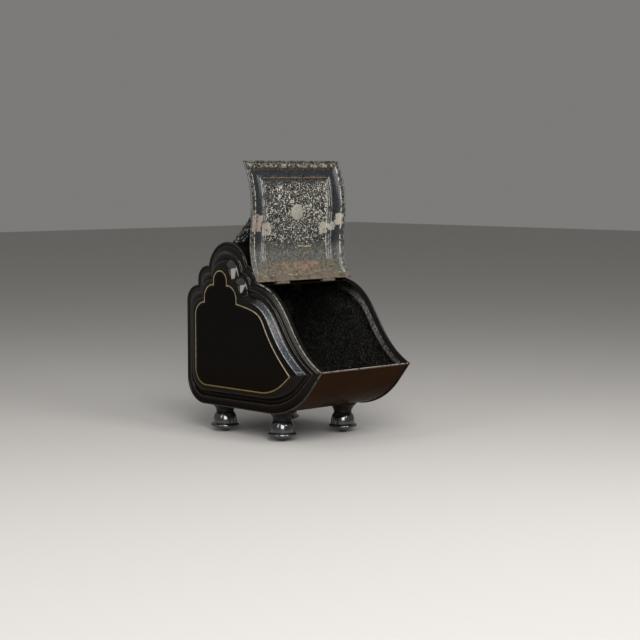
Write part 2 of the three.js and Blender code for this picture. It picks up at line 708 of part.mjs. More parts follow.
// a rivet through a leaf and the sheet it holds, from the underside of the lower one
function rivet(stack) {
  const dome = rivetHeadRadius * 0.6;
  const [bottom, top] = [-clearance, stack + clearance];
  return turned([[0, bottom - rivetHeadHeight], [dome, bottom - rivetHeadHeight],
    [rivetHeadRadius, bottom], [rivetShankRadius, bottom], [rivetShankRadius, top],
    [rivetHeadRadius, top], [dome, top + rivetHeadHeight], [0, top + rivetHeadHeight]], rivetSides);
}

const holeReach = rivetHeadRadius * 3;
const rivetHole = (x, distance) => stoodOnMouth(
  rod(rivetShankRadius + clearance, -holeReach, holeReach, rivetSides), x, distance, 0);
const bodyStack = sheetThickness + bodyLeafHeight + leafThickness;
const lidStack = leafThickness + clearance + lidThickness;
const rivetPairs = [['inner', -1], ['outer', 1]];

const bodyRivetHoles = [];
const lidRivetHoles = [];
const lidPieces = [];
for (const { side, x } of hinges) {
  const rivets = rivetPairs.map(([which, sign]) => ({ which, at: x + sign * Math.sign(x) * rivetSpread }));
  const bodyHoles = rivets.map(({ at }) => rivetHole(at, hingeSetback - bodyRivetPlace));
  const lidHoles = rivets.map(({ at }) => rivetHole(at, hingeSetback + lidRivetPlace));
  bodyRivetHoles.push(...bodyHoles);
  lidRivetHoles.push(...lidHoles);
  addPiece(`hinge_body_leaf_${side}`,
    cut(leaf(x, -1, bodyLeafLength, bodyLeafHeight, endKnuckles), ...bodyHoles), rustyIron);
  addPiece(`hinge_pin_${side}`,
    alongHinge(rod(pinRadius, -hingeWidth / 2, hingeWidth / 2, boltSides), x), rustyIron);
  lidPieces.push([`hinge_lid_leaf_${side}`,
    cut(leaf(x, 1, lidLeafLength, lidLeafHeight, middleKnuckle), ...lidHoles), rustyIron]);
  for (const { which, at } of rivets) {
    addPiece(`body_rivet_${side}_${which}`,
      stoodOnMouth(rivet(bodyStack), at, hingeSetback - bodyRivetPlace, -sheetThickness), rustyIron);
    lidPieces.push([`lid_rivet_${side}_${which}`,
      stoodOnMouth(rivet(lidStack), at, hingeSetback + lidRivetPlace, lidLeafHeight), rustyIron]);
  }
}

// the roof runs from the shoulder over the lobes, and on as a flange under the hinges
const flangeRun = [mouthAt(roofFlangeEnd / 2).place, mouthAt(roofFlangeEnd).place];
const roofRun = shortened([...rim.slice(shoulderEnd, mouthStart + 1), ...flangeRun], seamGap, 0);
addPiece('roof_sheet', cut(sheet(roofRun), ...bodyRivetHoles, ...handleScrewHoles), japan);

// ---- lid: pressed sheet that follows the mouth's curve, with a cove and reeds round a raised panel ----

const lidEnd = mouthLength + lidLipOverhang - hingeSetback;
const lidHalfWidth = halfRim + lidSideOverhang;
const lidCoveEnd = lidEdgeStrip + lidCoveWidth;
const lidPanelInset = lidCoveEnd + lidReedWidth;

// how high the sheet stands above the edge strip, at a distance in from its side or free edge
const borderSteps = [[0, 0], [lidEdgeStrip, 0], [lidEdgeStrip + lidCoveWidth * 0.45, lidCoveRise * 0.75],
  [lidCoveEnd, lidCoveRise], [lidPanelInset, lidPanelRise]];
const rearStripEnd = lidRearGap + lidEdgeStrip;
const rearBandEnd = rearStripEnd + lidRearBandWidth;
const rearPanelStart = rearBandEnd + lidRearStep;
const rearSteps = [[lidRearGap, 0], [rearStripEnd, 0], [rearStripEnd + lidRearRise, lidRearBandRise],
  [rearBandEnd, lidRearBandRise], [rearPanelStart, lidPanelRise]];

function riseAt(steps, distance) {
  const after = steps.findIndex(([d]) => d > distance);
  if (after < 0) return steps[steps.length - 1][1];
  if (after === 0) return steps[0][1];
  const [[d0, r0], [d1, r1]] = [steps[after - 1], steps[after]];
  return r0 + (r1 - r0) * (distance - d0) / (d1 - d0);
}

// half the stretch of panel that is left flat under the knob
const knobFlat = backingPlateRadius + knobFlatMargin;

// even divisions strictly between two distances, close enough for the sheet to follow the mouth's curve
function rowsBetween(from, to) {
  const count = Math.max(1, Math.ceil((to - from) / lidRowSpacing));
  return Array.from({ length: count - 1 }, (_, k) => from + (to - from) * (k + 1) / count);
}

function lidSheet() {
  const columns = [...borderSteps.map(([d]) => d - lidHalfWidth),
    ...borderSteps.map(([d]) => lidHalfWidth - d).reverse()];
  const freePart = borderSteps.map(([d]) => lidEnd - d).reverse();
  const [flatFrom, flatTo] = [knobPlace - knobFlat, knobPlace + knobFlat];
  const rows = [...rearSteps.map(([d]) => d), ...rowsBetween(rearPanelStart, flatFrom),
    flatFrom, flatTo, ...rowsBetween(flatTo, freePart[0]), ...freePart];
  const spot = (row, x, below) => {
    const rise = Math.min(riseAt(borderSteps, lidHalfWidth - Math.abs(x)),
      riseAt(borderSteps, lidEnd - row), riseAt(rearSteps, row));
    const at = aboveMouth(hingeSetback + row, lidUnderside + rise + lidThickness - below);
    return [x, at.x, at.y];
  };
  const upper = rows.flatMap((row) => columns.map((x) => spot(row, x, 0)));
  const lower = rows.flatMap((row) => columns.map((x) => spot(row, x, lidThickness)));
  const wide = columns.length;
  const faces = [];
  for (let r = 0; r + 1 < rows.length; r++) {
    for (let c = 0; c + 1 < wide; c++) {
      const a = r * wide + c;
      // the dividing line of each cell runs towards the nearer corner of the free end
      const leftHalf = c < wide / 2 - 1;
      faces.push(...(leftHalf
        ? [[a, a + 1 + wide, a + 1], [a, a + wide, a + 1 + wide]]
        : [[a, a + wide, a + 1], [a + 1, a + wide, a + 1 + wide]]));
    }
  }
  const border = [];
  for (let c = 0; c + 1 < wide; c++) border.push(c);
  for (let r = 0; r + 1 < rows.length; r++) border.push(r * wide + wide - 1);
  for (let c = wide - 1; c > 0; c--) border.push((rows.length - 1) * wide + c);
  for (let r = rows.length - 1; r > 0; r--) border.push(r * wide);
  const under = upper.length;
  const edge = border.flatMap((v, i) => {
    const next = border[(i + 1) % border.length];
    return [[v, next, next + under], [v, next + under, v + under]];
  });
  return geometryFrom([...upper, ...lower], [
    ...faces, ...turnedOver(faces).map((face) => face.map((v) => v + under)), ...edge]);
}

// the wire round which the lid's edge is rolled: up one side, across the free end and down the other
function lidWire() {
  const offset = lidWireRadius + clearance;
  const x = lidHalfWidth + offset;
  const end = lidEnd + offset;
  const level = lidUnderside + lidThickness / 2;
  const side = [];
  for (let k = 0; k <= lidWireSteps; k++) side.push(lidRearGap + (end - lidRearGap) * k / lidWireSteps);
  const path = [...side.map((row) => [-x, row]), ...side.map((row) => [x, row]).reverse()];
  const frames = path.map(([px, row], i) => {
    const before = path[Math.max(0, i - 1)];
    const after = path[Math.min(path.length - 1, i + 1)];
    const step = ([ax, ad], [bx, bd]) => new THREE.Vector2(bx - ax, bd - ad).normalize();
    const first = i > 0 ? step(before, path[i]) : step(path[i], after);
    const second = i + 1 < path.length ? step(path[i], after) : first;
    const outward = point(first.y + second.y, -(first.x + second.x)).normalize().multiplyScalar(-1);
    const { along, up } = mouthAt(hingeSetback + row);
    const at = aboveMouth(hingeSetback + row, level);
    const square = point(-first.y, first.x);
    return {
      place: new THREE.Vector3(px, at.x, at.y),
      across: new THREE.Vector3(outward.x, along.x * outward.y, along.y * outward.y),
      up: new THREE.Vector3(0, -up.x, -up.y),
      stretch: 1 / Math.max(0.5, Math.abs(outward.dot(square))),
    };
  });
  return rodAlong(frames, lidWireRadius, wireSides, false);
}

// knob and backing plate, either side of a flat stretch of the lid's panel
const panelUnderside = lidUnderside + lidPanelRise;
const [flatStart, flatEnd] = [-1, 1].map((sign) => (
  aboveMouth(hingeSetback + knobPlace + sign * knobFlat, panelUnderside)));
const flatUp = point(flatEnd.y - flatStart.y, flatStart.x - flatEnd.x).normalize();
const stoodOnPanel = (geometry) => stood(geometry, 0, flatStart.clone().lerp(flatEnd, 0.5), flatUp);
const knobHole = stoodOnPanel(rod(knobShankRadius + clearance, -1, lidThickness + 1, boltSides));
lidPieces.push(['lid_sheet', cut(lidSheet(), knobHole, ...lidRivetHoles), wornJapan]);
lidPieces.push(['lid_edge_wire', lidWire(), wornJapan]);

const knobBase = lidThickness + clearance;
const shankTip = -clearance - backingPlateThickness / 2;
const knob = turned([[0, shankTip], [knobShankRadius, shankTip], [knobShankRadius, knobBase],
  [knobRadius * 0.8, knobBase], [knobRadius * 0.8, knobBase + knobHeight * 0.07],
  [knobNeckRadius, knobBase + knobHeight * 0.15],
  [knobNeckRadius, knobBase + knobHeight * 0.4], [knobRadius, knobBase + knobHeight * 0.62],
  [knobRadius, knobBase + knobHeight * 0.78], [knobRadius * 0.6, knobBase + knobHeight],
  [0, knobBase + knobHeight]], turnedSides);
lidPieces.push(['lid_knob', stoodOnPanel(knob), castMatt]);

const plateTop = -clearance;
const plateBottom = plateTop - backingPlateThickness;
const shankPocket = shankTip - clearance;
const backingPlate = turned([[0, plateBottom], [backingPlateRadius, plateBottom],
  [backingPlateRadius, plateTop], [knobShankRadius + clearance, plateTop],
  [knobShankRadius + clearance, shankPocket], [0, shankPocket]], turnedSides);
lidPieces.push(['knob_backing_plate', stoodOnPanel(backingPlate), bareSteel]);

// the lid's pieces are made shut, then swung open about the pins
lid.position.set(0, hingeAxis.x, hingeAxis.y);
lid.rotation.x = -lidSwing * radians;
for (const [name, geometry, material] of lidPieces) {
  addPiece(name, geometry.translate(0, -hingeAxis.x, -hingeAxis.y), material, lid);
}

export default scuttle;
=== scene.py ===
"""A lidded coal scuttle of black japanned sheet iron on four cast feet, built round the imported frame.

Lengths are millimetres until a vertex is placed, in the frame's axes: +Z up, and the mouth faces -Y.
Outlines are drawn in the (y, z) plane. The lid is made shut, then swung open about its pins.
"""

import math

import bmesh
import bpy
from mathutils import Matrix, Vector


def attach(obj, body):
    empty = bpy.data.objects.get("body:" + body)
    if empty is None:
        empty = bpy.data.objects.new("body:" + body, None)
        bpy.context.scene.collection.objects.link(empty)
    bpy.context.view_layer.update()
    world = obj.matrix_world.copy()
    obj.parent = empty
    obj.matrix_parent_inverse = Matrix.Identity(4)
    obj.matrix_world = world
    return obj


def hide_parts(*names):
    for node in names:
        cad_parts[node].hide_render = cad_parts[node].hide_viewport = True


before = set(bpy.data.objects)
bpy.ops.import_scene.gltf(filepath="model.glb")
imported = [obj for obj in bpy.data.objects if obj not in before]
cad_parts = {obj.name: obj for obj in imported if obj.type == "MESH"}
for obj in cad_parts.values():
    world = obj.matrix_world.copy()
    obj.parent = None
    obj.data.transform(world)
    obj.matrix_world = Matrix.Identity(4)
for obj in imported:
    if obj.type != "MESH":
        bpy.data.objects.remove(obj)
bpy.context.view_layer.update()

# ---- Side panels ---------------------------------------------------------------------------------
# Each side is one sheet of iron, pressed outwards in steps: a narrow rim, a ridge and a groove, a steep
# round shoulder and a flat field. It is japanned gloss black, with a gilt line painted round the field.

MM = 0.001
SIDES = {"left": -1, "right": 1}
BODY_DEPTH = 358.7
HALF_RIM = 107.5
BODY_BOTTOM = 53.5
LIP_HEIGHT = 135.2
BREAST_RADIUS, BREAST_SETBACK = 137, 131.9
HEEL_RADIUS = 45.5
SHOULDER_TOP, SHOULDER_DROP = 268.5, 28.5
CREST_SETBACK, CREST_HEIGHT, CREST_RADIUS = 115.5, 296.5, 53.2
REAR_LOBE_OFFSET, REAR_LOBE_HEIGHT = 58.5, 280
FRONT_LOBE_OFFSET, FRONT_LOBE_HEIGHT = 48.5, 285.5
SIDE_LOBE_RADIUS = 24.7
MOUTH_TOP_HEIGHT = 280.5
PANEL_RISE = 17
SHEET = 1.2
# the clearance between neighbouring pieces
GAP = 0.3

FIELD_BACK_INSET, FIELD_BOTTOM_RISE = 41.7, 36.8
FIELD_TIP_INSET, FIELD_TIP_HEIGHT = 61.8, 125
FIELD_BREAST_RADIUS, FIELD_BREAST_SETBACK = 98, 139.3
FIELD_HEEL_RADIUS = 29
FIELD_SHOULDER_TOP, FIELD_SHOULDER_DROP, FIELD_SLOPE_TOP = 241.3, 25, 242.3
FIELD_CREST_SHIFT = 4
FIELD_LOBE_OFFSET, FIELD_LOBE_HEIGHT, FIELD_LOBE_RADIUS = 20.2, 250, 24
FIELD_CREST_RADIUS, FIELD_CREST_HEIGHT = 18, 281.7

BREAST_STEPS, HEEL_STEPS, SHOULDER_STEPS, LOBE_STEPS = 28, 20, 14, 14
LEG_STEPS, ARCH_STEPS, MOUTH_STEPS = 3, 24, 60
CURVE_SAMPLES = 600

# the pressing, from the bead to the gilt line: [share of the way in, height in millimetres]
MOULDING = [
    (0.0, 0), (0.02, 0.3), (0.035, 1), (0.055, 1.5), (0.085, 1.7), (0.115, 1.6), (0.13, 1.3), (0.145, 1.4),
    (0.18, 1.8), (0.22, 2.3), (0.26, 3.1), (0.285, 4), (0.3, 4.7), (0.315, 4.95), (0.33, 4.7), (0.35, 3.8),
    (0.375, 3), (0.41, 2.6), (0.46, 2.5), (0.5, 2.6), (0.53, 3), (0.548, 3.7), (0.56, 4.6), (0.58, 6.2),
    (0.6, 7.7), (0.63, 9.8), (0.66, 11.6), (0.69, 13.2), (0.715, 14.35), (0.735, 15.1), (0.76, 15.75),
    (0.8, 16.3), (0.86, 16.75), (0.92, 16.95), (1, 17)]
MOULDING_WIDTH = 47
# how far the moulding may be narrowed or widened from its own width, where the way in differs from it
LEAST_WIDTH, MOST_WIDTH = 0.8, 1.25
# the panel's edge is tucked this far inside the bead
EDGE_TUCK = 1.4
GILT_WIDTH = 2.2
# the moulding's vertices carry their share of the way in; the gilt line and the field go on from there
GILT_MARK, FIELD_MARK = 1.1, 1.2
# the rubbing starts this many steps below the mouth's top, and takes so many more to its full strength
RUBBING_START, RUBBING_FADE = 7, 12
# the pitch of the teeth of the milled band beside the bead
TICK_PITCH = 3.4
# the fine line pressed just inside the gilt: [depth inside it, how far it is sunk]
SUNK_LINE = [(2.4, 0), (3, 0.2), (3.5, 0.3), (4, 0.2), (4.7, 0), (6.5, 0)]


def spot(y, z):
    return Vector((y, z))


def arc(centre, radius, start, stop, steps, height=None):
    """An arc of a circle, or of an ellipse where a height is given, from one angle to another."""
    turns = [math.radians(start + (stop - start) * i / steps) for i in range(steps + 1)]
    return [centre + spot(radius * math.cos(t), (height or radius) * math.sin(t)) for t in turns]


def angle_from(centre, p):
    return math.degrees(math.atan2(p.y - centre.y, p.x - centre.x))


def upper_crossing(centre_a, radius_a, centre_b, radius_b):
    """Where two circles cross, on the side of larger z."""
    apart = (centre_b - centre_a).length
    along = (radius_a**2 - radius_b**2 + apart**2) / (2 * apart)
    across = math.sqrt(radius_a**2 - along**2)
    unit = (centre_b - centre_a) / apart
    crossings = [centre_a + unit * along + spot(-unit.y, unit.x) * across * way for way in (1, -1)]
    return max(crossings, key=lambda p: p.y)


def touch_angle(centre, radius, outside):
    """The angle at which the line to an outside point touches a circle, on its lower front side."""
    return angle_from(centre, outside) + math.degrees(math.acos(radius / (outside - centre).length))


def heading(angle):
    """A step of one in a direction given in degrees."""
    return spot(math.cos(math.radians(angle)), math.sin(math.radians(angle)))


def eased_curve(start, start_angle, start_reach, end, end_angle, end_reach):
    """A smooth curve that leaves each end in a given direction, as a fine run of points."""
    a, b, c, d = start, start + start_reach * heading(start_angle), end + end_reach * heading(end_angle), end
    shares = [i / CURVE_SAMPLES for i in range(CURVE_SAMPLES + 1)]
    return [a * (1 - t)**3 + b * 3 * t * (1 - t)**2 + c * 3 * t * t * (1 - t) + d * t**3 for t in shares]


def spaced(run, steps):
    """Points evenly spaced along a run."""
    travelled = [0.0]
    for p, q in zip(run, run[1:]):
        travelled.append(travelled[-1] + (q - p).length)
    points, i = [], 0
    for k in range(steps + 1):
        distance = travelled[-1] * k / steps
        while i < len(run) - 2 and travelled[i + 1] < distance:
            i += 1
        points.append(run[i].lerp(run[i + 1], (distance - travelled[i]) / (travelled[i + 1] - travelled[i])))
    return points


def joined(*stretches):
    """Stretches laid end to end; one that starts where the last one ended shares that point."""
    loop = []
    for stretch in stretches:
        loop += stretch[1:] if loop and (stretch[0] - loop[-1]).length < 0.01 else stretch
    return loop


BACK = BODY_DEPTH / 2
LIP = spot(-BACK, LIP_HEIGHT)
CREST = spot(BACK - CREST_SETBACK, CREST_HEIGHT)
REAR_LOBE = spot(CREST.x + REAR_LOBE_OFFSET, REAR_LOBE_HEIGHT)
FRONT_LOBE = spot(CREST.x - FRONT_LOBE_OFFSET, FRONT_LOBE_HEIGHT)
MOUTH_TOP = spot(FRONT_LOBE.x - SIDE_LOBE_RADIUS, MOUTH_TOP_HEIGHT)
mouth_curve = eased_curve(MOUTH_TOP, 188, 95, LIP, 25.7, 100.7)


def lower_stretches(tip, setback, breast, back_line, bottom_line, heel):
    """The breast's arc from its touch with the tip down to the bottom, and the heel's arc up to the back."""
    breast_centre = spot(LIP.x + setback, bottom_line + breast)
    heel_centre = spot(back_line - heel, bottom_line + heel)
    return (arc(breast_centre, breast, touch_angle(breast_centre, breast, tip), -90, BREAST_STEPS),
            arc(heel_centre, heel, -90, 0, HEEL_STEPS))


def rim_outline():
    breast, heel = lower_stretches(LIP, BREAST_SETBACK, BREAST_RADIUS, BACK, BODY_BOTTOM, HEEL_RADIUS)
    rear_notch = upper_crossing(CREST, CREST_RADIUS, REAR_LOBE, SIDE_LOBE_RADIUS)
    front_notch = upper_crossing(CREST, CREST_RADIUS, FRONT_LOBE, SIDE_LOBE_RADIUS)
    foot = spot(REAR_LOBE.x + SIDE_LOBE_RADIUS, SHOULDER_TOP - SHOULDER_DROP)
    return joined(
        breast, heel, arc(foot, BACK - foot.x, 0, 90, SHOULDER_STEPS, SHOULDER_DROP),
        arc(REAR_LOBE, SIDE_LOBE_RADIUS, 0, angle_from(REAR_LOBE, rear_notch), LOBE_STEPS),
        arc(CREST, CREST_RADIUS, angle_from(CREST, rear_notch), angle_from(CREST, front_notch),
            2 * LEG_STEPS + ARCH_STEPS),
        arc(FRONT_LOBE, SIDE_LOBE_RADIUS, angle_from(FRONT_LOBE, front_notch), 180, LOBE_STEPS),
        spaced(mouth_curve, MOUTH_STEPS))


def field_outline():
    tip = spot(LIP.x + FIELD_TIP_INSET, FIELD_TIP_HEIGHT)
    back = BACK - FIELD_BACK_INSET
    breast, heel = lower_stretches(tip, FIELD_BREAST_SETBACK, FIELD_BREAST_RADIUS, back,
                                   BODY_BOTTOM + FIELD_BOTTOM_RISE, FIELD_HEEL_RADIUS)
    middle = CREST.x + FIELD_CREST_SHIFT
    rear, front = (spot(middle + way * FIELD_LOBE_OFFSET, FIELD_LOBE_HEIGHT) for way in (1, -1))
    foot = spot(rear.x + FIELD_LOBE_RADIUS, FIELD_SHOULDER_TOP - FIELD_SHOULDER_DROP)
    # the middle lobe is a round arch on straight legs, whose feet stand on the side lobes
    leg_foot = math.sqrt(FIELD_LOBE_RADIUS**2 - (FIELD_CREST_RADIUS - FIELD_LOBE_OFFSET)**2)
    rear_notch, front_notch = (spot(middle + way * FIELD_CREST_RADIUS, FIELD_LOBE_HEIGHT + leg_foot)
                               for way in (1, -1))
    arch = arc(spot(middle, FIELD_CREST_HEIGHT), FIELD_CREST_RADIUS, 0, 180, ARCH_STEPS)
    slope_top = spot(front.x - FIELD_LOBE_RADIUS, FIELD_SLOPE_TOP)
    return joined(
        breast, heel, arc(foot, back - foot.x, 0, 90, SHOULDER_STEPS, FIELD_SHOULDER_DROP),
        arc(rear, FIELD_LOBE_RADIUS, 0, angle_from(rear, rear_notch), LOBE_STEPS),
        spaced([rear_notch, arch[0]], LEG_STEPS), arch, spaced([arch[-1], front_notch], LEG_STEPS),
        arc(front, FIELD_LOBE_RADIUS, angle_from(front, front_notch), 180, LOBE_STEPS),
        spaced(eased_curve(slope_top, 189.2, 105, tip, 42.7, 141), MOUTH_STEPS))


def inset(run, depth, closed=True):
    """The line at a depth inside an outline or an open run, with mitred corners."""
    points = []
    for i, p in enumerate(run):
        before = p - run[i - 1] if closed or i else run[1] - p
        after = run[(i + 1) % len(run)] - p if closed or i + 1 < len(run) else before
        before, after = before.normalized(), after.normalized()
        inward = spot(-(before.y + after.y), before.x + after.x).normalized()
        points.append(p + inward * depth / max(0.4, inward.dot(spot(-before.y, before.x))))
    return points


rim = rim_outline()
field = field_outline()


def placed(x, p):
    """A point of an outline at a distance to the right, in metres."""
    return Vector((x, p.x, p.y)) * MM


def mesh_with(*marks):
    """A mesh to be drawn, whose vertices carry marks of these names."""
    bm = bmesh.new()
    for name in marks:
        bm.verts.layers.float.new(name)
    return bm


def marked(bm, v, i, marks):
    for name, values in marks.items():
        v[bm.verts.layers.float[name]] = values[i] if isinstance(values, list) else values


def ring(bm, points, closed=True, **marks):
    """Edges through a run of points; each vertex keeps its place in the run when it is extruded."""
    place = bm.verts.layers.int.get("place") or bm.verts.layers.int.new("place")
    verts = [bm.verts.new(p) for p in points]
    for i, v in enumerate(verts):
        v[place] = i
        marked(bm, v, i, marks)
    pairs = zip(verts, verts[1:] + verts[:1] if closed else verts[1:])
    return [bm.edges.new(pair) for pair in pairs]


def drawn_out(bm, edges, points, **marks):
    """Extrudes a row of edges to the given points, and marks the new vertices."""
    place = bm.verts.layers.int["place"]
    made = bmesh.ops.extrude_edge_only(bm, edges=edges)["geom"]
    for v in made:
        if isinstance(v, bmesh.types.BMVert):
            v.co = points[v[place]]
            marked(bm, v, v[place], marks)
    return [e for e in made if isinstance(e, bmesh.types.BMEdge)]


def capped(bm, edges):
    return bmesh.ops.contextual_create(bm, geom=edges)["faces"][0]


def righted(bm):
    bmesh.ops.recalc_face_normals(bm, faces=bm.faces)
    return bm


def finished(name, bm, finishes, body, node, sharp=32):
    """Makes the piece's object, marks its sharp edges, and seats it on its body in place of its solid."""
    for edge in bm.edges:
        edge.smooth = len(edge.link_faces) == 2 and edge.calc_face_angle(0) < math.radians(sharp)
    for face in bm.faces:
        face.smooth = True
    mesh = bpy.data.meshes.new(name)
    bm.to_mesh(mesh)
    bm.free()
    for one in finishes:
        mesh.materials.append(one)
    piece = bpy.data.objects.new(name, mesh)
    bpy.context.scene.collection.objects.link(piece)
    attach(piece, body)
    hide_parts(node)
    return piece


def thickened(piece, thickness):
    """Gives a sheet its thickness behind its face; the far side takes the piece's next finish."""
    wall = piece.modifiers.new("sheet thickness", "SOLIDIFY")
    wall.thickness = thickness * MM
    wall.offset = -1
    wall.material_offset = 1
    wall.material_offset_rim = 0


# the material that the node helpers add to
material = None


def new_finish(name, metallic=0.0, ior=1.5):
    """Starts a material and gives its shader. The node helpers add to it until the next one is started."""
    global material
    material = bpy.data.materials.new(name)
    material.use_nodes = True
    shader = material.node_tree.nodes["Principled BSDF"]
    feed(shader.inputs["Metallic"], metallic)
    feed(shader.inputs["IOR"], ior)
    return shader


def feed(socket, value):
    """Links an output to a socket, or sets a plain number or colour on it."""
    if isinstance(value, bpy.types.NodeSocket):
        material.node_tree.links.new(value, socket)
    else:
        socket.default_value = (*value, 1) if socket.type == "RGBA" else value


def add(kind, feeds, output, **settings):
    """Adds a node with its settings, feeds its inputs, and returns one of its outputs."""
    node = material.node_tree.nodes.new(kind)
    for key, value in settings.items():
        setattr(node, key, value)
    for key, value in feeds.items():
        feed(node.inputs[key], value)
    return node.outputs[output]


def on_piece(stretch=(1, 1, 1)):
    """The place on the piece, in metres, optionally stretched; asked for again, it gives the same node."""
    name = f"place {stretch}"
    known = material.node_tree.nodes.get(name)
    if known:
        return known.outputs["Vector"]
    place = add("ShaderNodeTexCoord", {}, "Object")
    return add("ShaderNodeMapping", {"Vector": place, "Scale": stretch}, "Vector", name=name)


def along_axis(axis):
    return add("ShaderNodeSeparateXYZ", {"Vector": on_piece()}, axis)


def noise(scale, detail=4, rough=0.6, stretch=(1, 1, 1)):
    feeds = {"Vector": on_piece(stretch), "Scale": scale, "Detail": detail, "Roughness": rough}
    return add("ShaderNodeTexNoise", feeds, "Fac")


def mark(name):
    """A value that the piece's vertices carry."""
    return add("ShaderNodeAttribute", {}, "Fac", attribute_name=name)


def ramp(value, low, high, start=0.0, stop=1.0):
    feeds = {"Value": value, "From Min": low, "From Max": high, "To Min": start, "To Max": stop}
    return add("ShaderNodeMapRange", feeds, "Result", clamp=True)


def folding(operation):
    """A helper that joins two or more values, one after the other, by an arithmetic operation."""
    def fold(*values):
        total = values[0]
        for value in values[1:]:
            total = add("ShaderNodeMath", {0: total, 1: value}, "Value", operation=operation)
        return total
    return fold


times, plus, less, most = (folding(kind) for kind in ("MULTIPLY", "ADD", "SUBTRACT", "MAXIMUM"))


def band(value, low, high, soft):
    """One between low and high, falling to nothing over a soft width."""
    return times(ramp(value, low - soft, low), ramp(value, high, high + soft, 1, 0))


def tinted(share, under, over):
    return add("ShaderNodeMix", {0: share, 6: under, 7: over}, 2, data_type="RGBA")


def layered(colour, *layers):
    """A ground colour under further ones, each given as [where it lies, the colour]."""
    for share, over in layers:
        colour = tinted(share, colour, over)
    return colour


def dressed(colour, roughness, bumps=None, depth=0.0, strength=1.0):
    """Gives the started finish its colour, roughness and bumps of a depth in millimetres, and returns it."""
    sockets = material.node_tree.nodes["Principled BSDF"].inputs
    feed(sockets["Base Color"], colour)
    feed(sockets["Roughness"], roughness)
    if bumps is not None:
        feeds = {"Height": bumps, "Distance": depth * MM, "Strength": strength}
        feed(sockets["Normal"], add("ShaderNodeBump", feeds, "Normal"))
    return material


def gloss_japan():
    """Stoved black varnish; along the mouth the moulding's slope carries a painted reflection of the light
    above, dark blue-grey, broken into bright painted specks where the varnish is rubbed.
    """
    shader = new_finish("gloss_japan", ior=1.52)
    feed(shader.inputs["Specular Tint"], (0.9, 0.84, 0.78))
    inward, slope, run, height = mark("inward"), mark("slope"), mark("run"), along_axis("Z")
    # the flat field and the underside have lost most of their polish
    polish = times(ramp(height, 0.07, 0.27, 0.08, 1), ramp(inward, 0.95, 1.1, 0.5, 0.14))
    feed(shader.inputs["Specular IOR Level"], polish)
    # the rubbed band is a painted reflection; bright painted specks of highlight crowd its two edges and its
    # lower end
    specks = noise(430, 3, 0.6)
    rubbed = times(band(inward, 0.57, 0.74, 0.012), slope)
    edges = most(band(inward, 0.565, 0.585, 0.01), band(inward, 0.722, 0.738, 0.01))
    tip = times(band(inward, 0.58, 0.73, 0.01), ramp(run, 6, 8), ramp(run, 12, 10))
    highlight_crowding = ramp(most(times(edges, 0.7), tip), 0, 1, 0.585, 0.4)
    bright = times(ramp(less(specks, highlight_crowding), 0, 0.05), rubbed,
                   ramp(band(run, 75, 130, 45), 0, 1, 0.75, 1.5))
    # the ridge by the bead is rubbed along its crown, and the band's edges, the inner one most, carry a
    # broken painted highlight line
    crown = times(band(inward, 0.305, 0.325, 0.01), ramp(noise(160, 5, 0.7), 0.3, 0.6))
    bare = times(most(band(inward, 0.715, 0.74, 0.008), times(edges, 0.5)), slope,
                 ramp(noise(210, 4, 0.7), 0.36, 0.56), ramp(run, 20, 45, 0.5, 1))
    # a milled band runs beside the bead along the mouth
    teeth = add("ShaderNodeMath", {0: times(run, 2 * math.pi / TICK_PITCH)}, "Value", operation="SINE")
    milled = times(band(inward, 0.03, 0.16, 0.015), slope, ramp(teeth, 0, 0.7, 0.25, 1))
    chips = times(ramp(noise(420, 5, 0.8), 0.69, 0.73), ramp(inward, 0.5, 0.4))
    # black, and browner low down, where a reflection of a brown floor is painted in
    ground = tinted(ramp(height, 0.16, 0.07), (0.0026, 0.0021, 0.0017), (0.005, 0.0027, 0.0014))
    colour = layered(
        ground,
        (rubbed, (0.016, 0.0185, 0.0215)),
        (bright, (0.12, 0.13, 0.142)),
        (bare, (0.27, 0.285, 0.3)),
        (times(crown, ramp(slope, 0, 1, 0.3, 0.8)), (0.15, 0.145, 0.13)),
        (milled, (0.1, 0.096, 0.084)),
        (times(chips, 0.5), (0.09, 0.082, 0.07)))
    smears = ramp(noise(26, 6, 0.65), 0.35, 0.7, 0.07, 0.16)
    waves = plus(noise(45, 2), times(specks, rubbed), milled)
    return dressed(colour, plus(smears, times(rubbed, 0.18)), waves, 0.25, 0.5)


def matt_inside():
    """Dull black inside, dusty with coal, with speckled painted highlights on the panels' ridges along the
    mouth.
    """
    new_finish("matt_black_inside", ior=1.15)
    soot = ramp(noise(330, 5, 0.8), 0.5, 0.7)
    smudge = ramp(noise(22, 4, 0.6), 0.3, 0.7, 0.4, 1)
    dusty = tinted(times(soot, smudge), (0.0055, 0.0053, 0.0048), (0.11, 0.107, 0.094))
    # on the panels' own inside the pressing's ridges along the mouth carry speckled painted highlights
    inward = mark("inward")
    ridges = most(band(inward, 0.26, 0.34, 0.02), times(band(inward, 0.68, 0.76, 0.02), 0.8),
                  times(band(inward, 0.02, 0.8, 0.05), 0.35))
    ridge_highlights = times(ridges, mark("slope"), ramp(noise(260, 5, 0.8), 0.42, 0.56, 0.1, 1))
    return dressed(tinted(ridge_highlights, dusty, (0.5, 0.485, 0.44)), ramp(soot, 0, 1, 0.36, 0.7),
                   noise(160, 6, 0.7), 0.3, 0.6)


def old_gilt():
    """Gold paint, brighter where the panel slopes and brown where it has worn thin."""
    new_finish("old_gilt", metallic=0.3)
    thin = ramp(noise(130, 5, 0.7), 0.48, 0.66)
    olive = tinted(ramp(along_axis("Z"), 0.1, 0.14), (0.17, 0.125, 0.03), (0.3, 0.24, 0.13))
    bright = tinted(mark("slope"), olive, (0.5, 0.42, 0.29))
    return dressed(tinted(times(thin, 0.75), bright, (0.1, 0.07, 0.025)),
                   ramp(noise(200, 4), 0.3, 0.7, 0.3, 0.55))


japan, inside, gilt = gloss_japan(), matt_inside(), old_gilt()


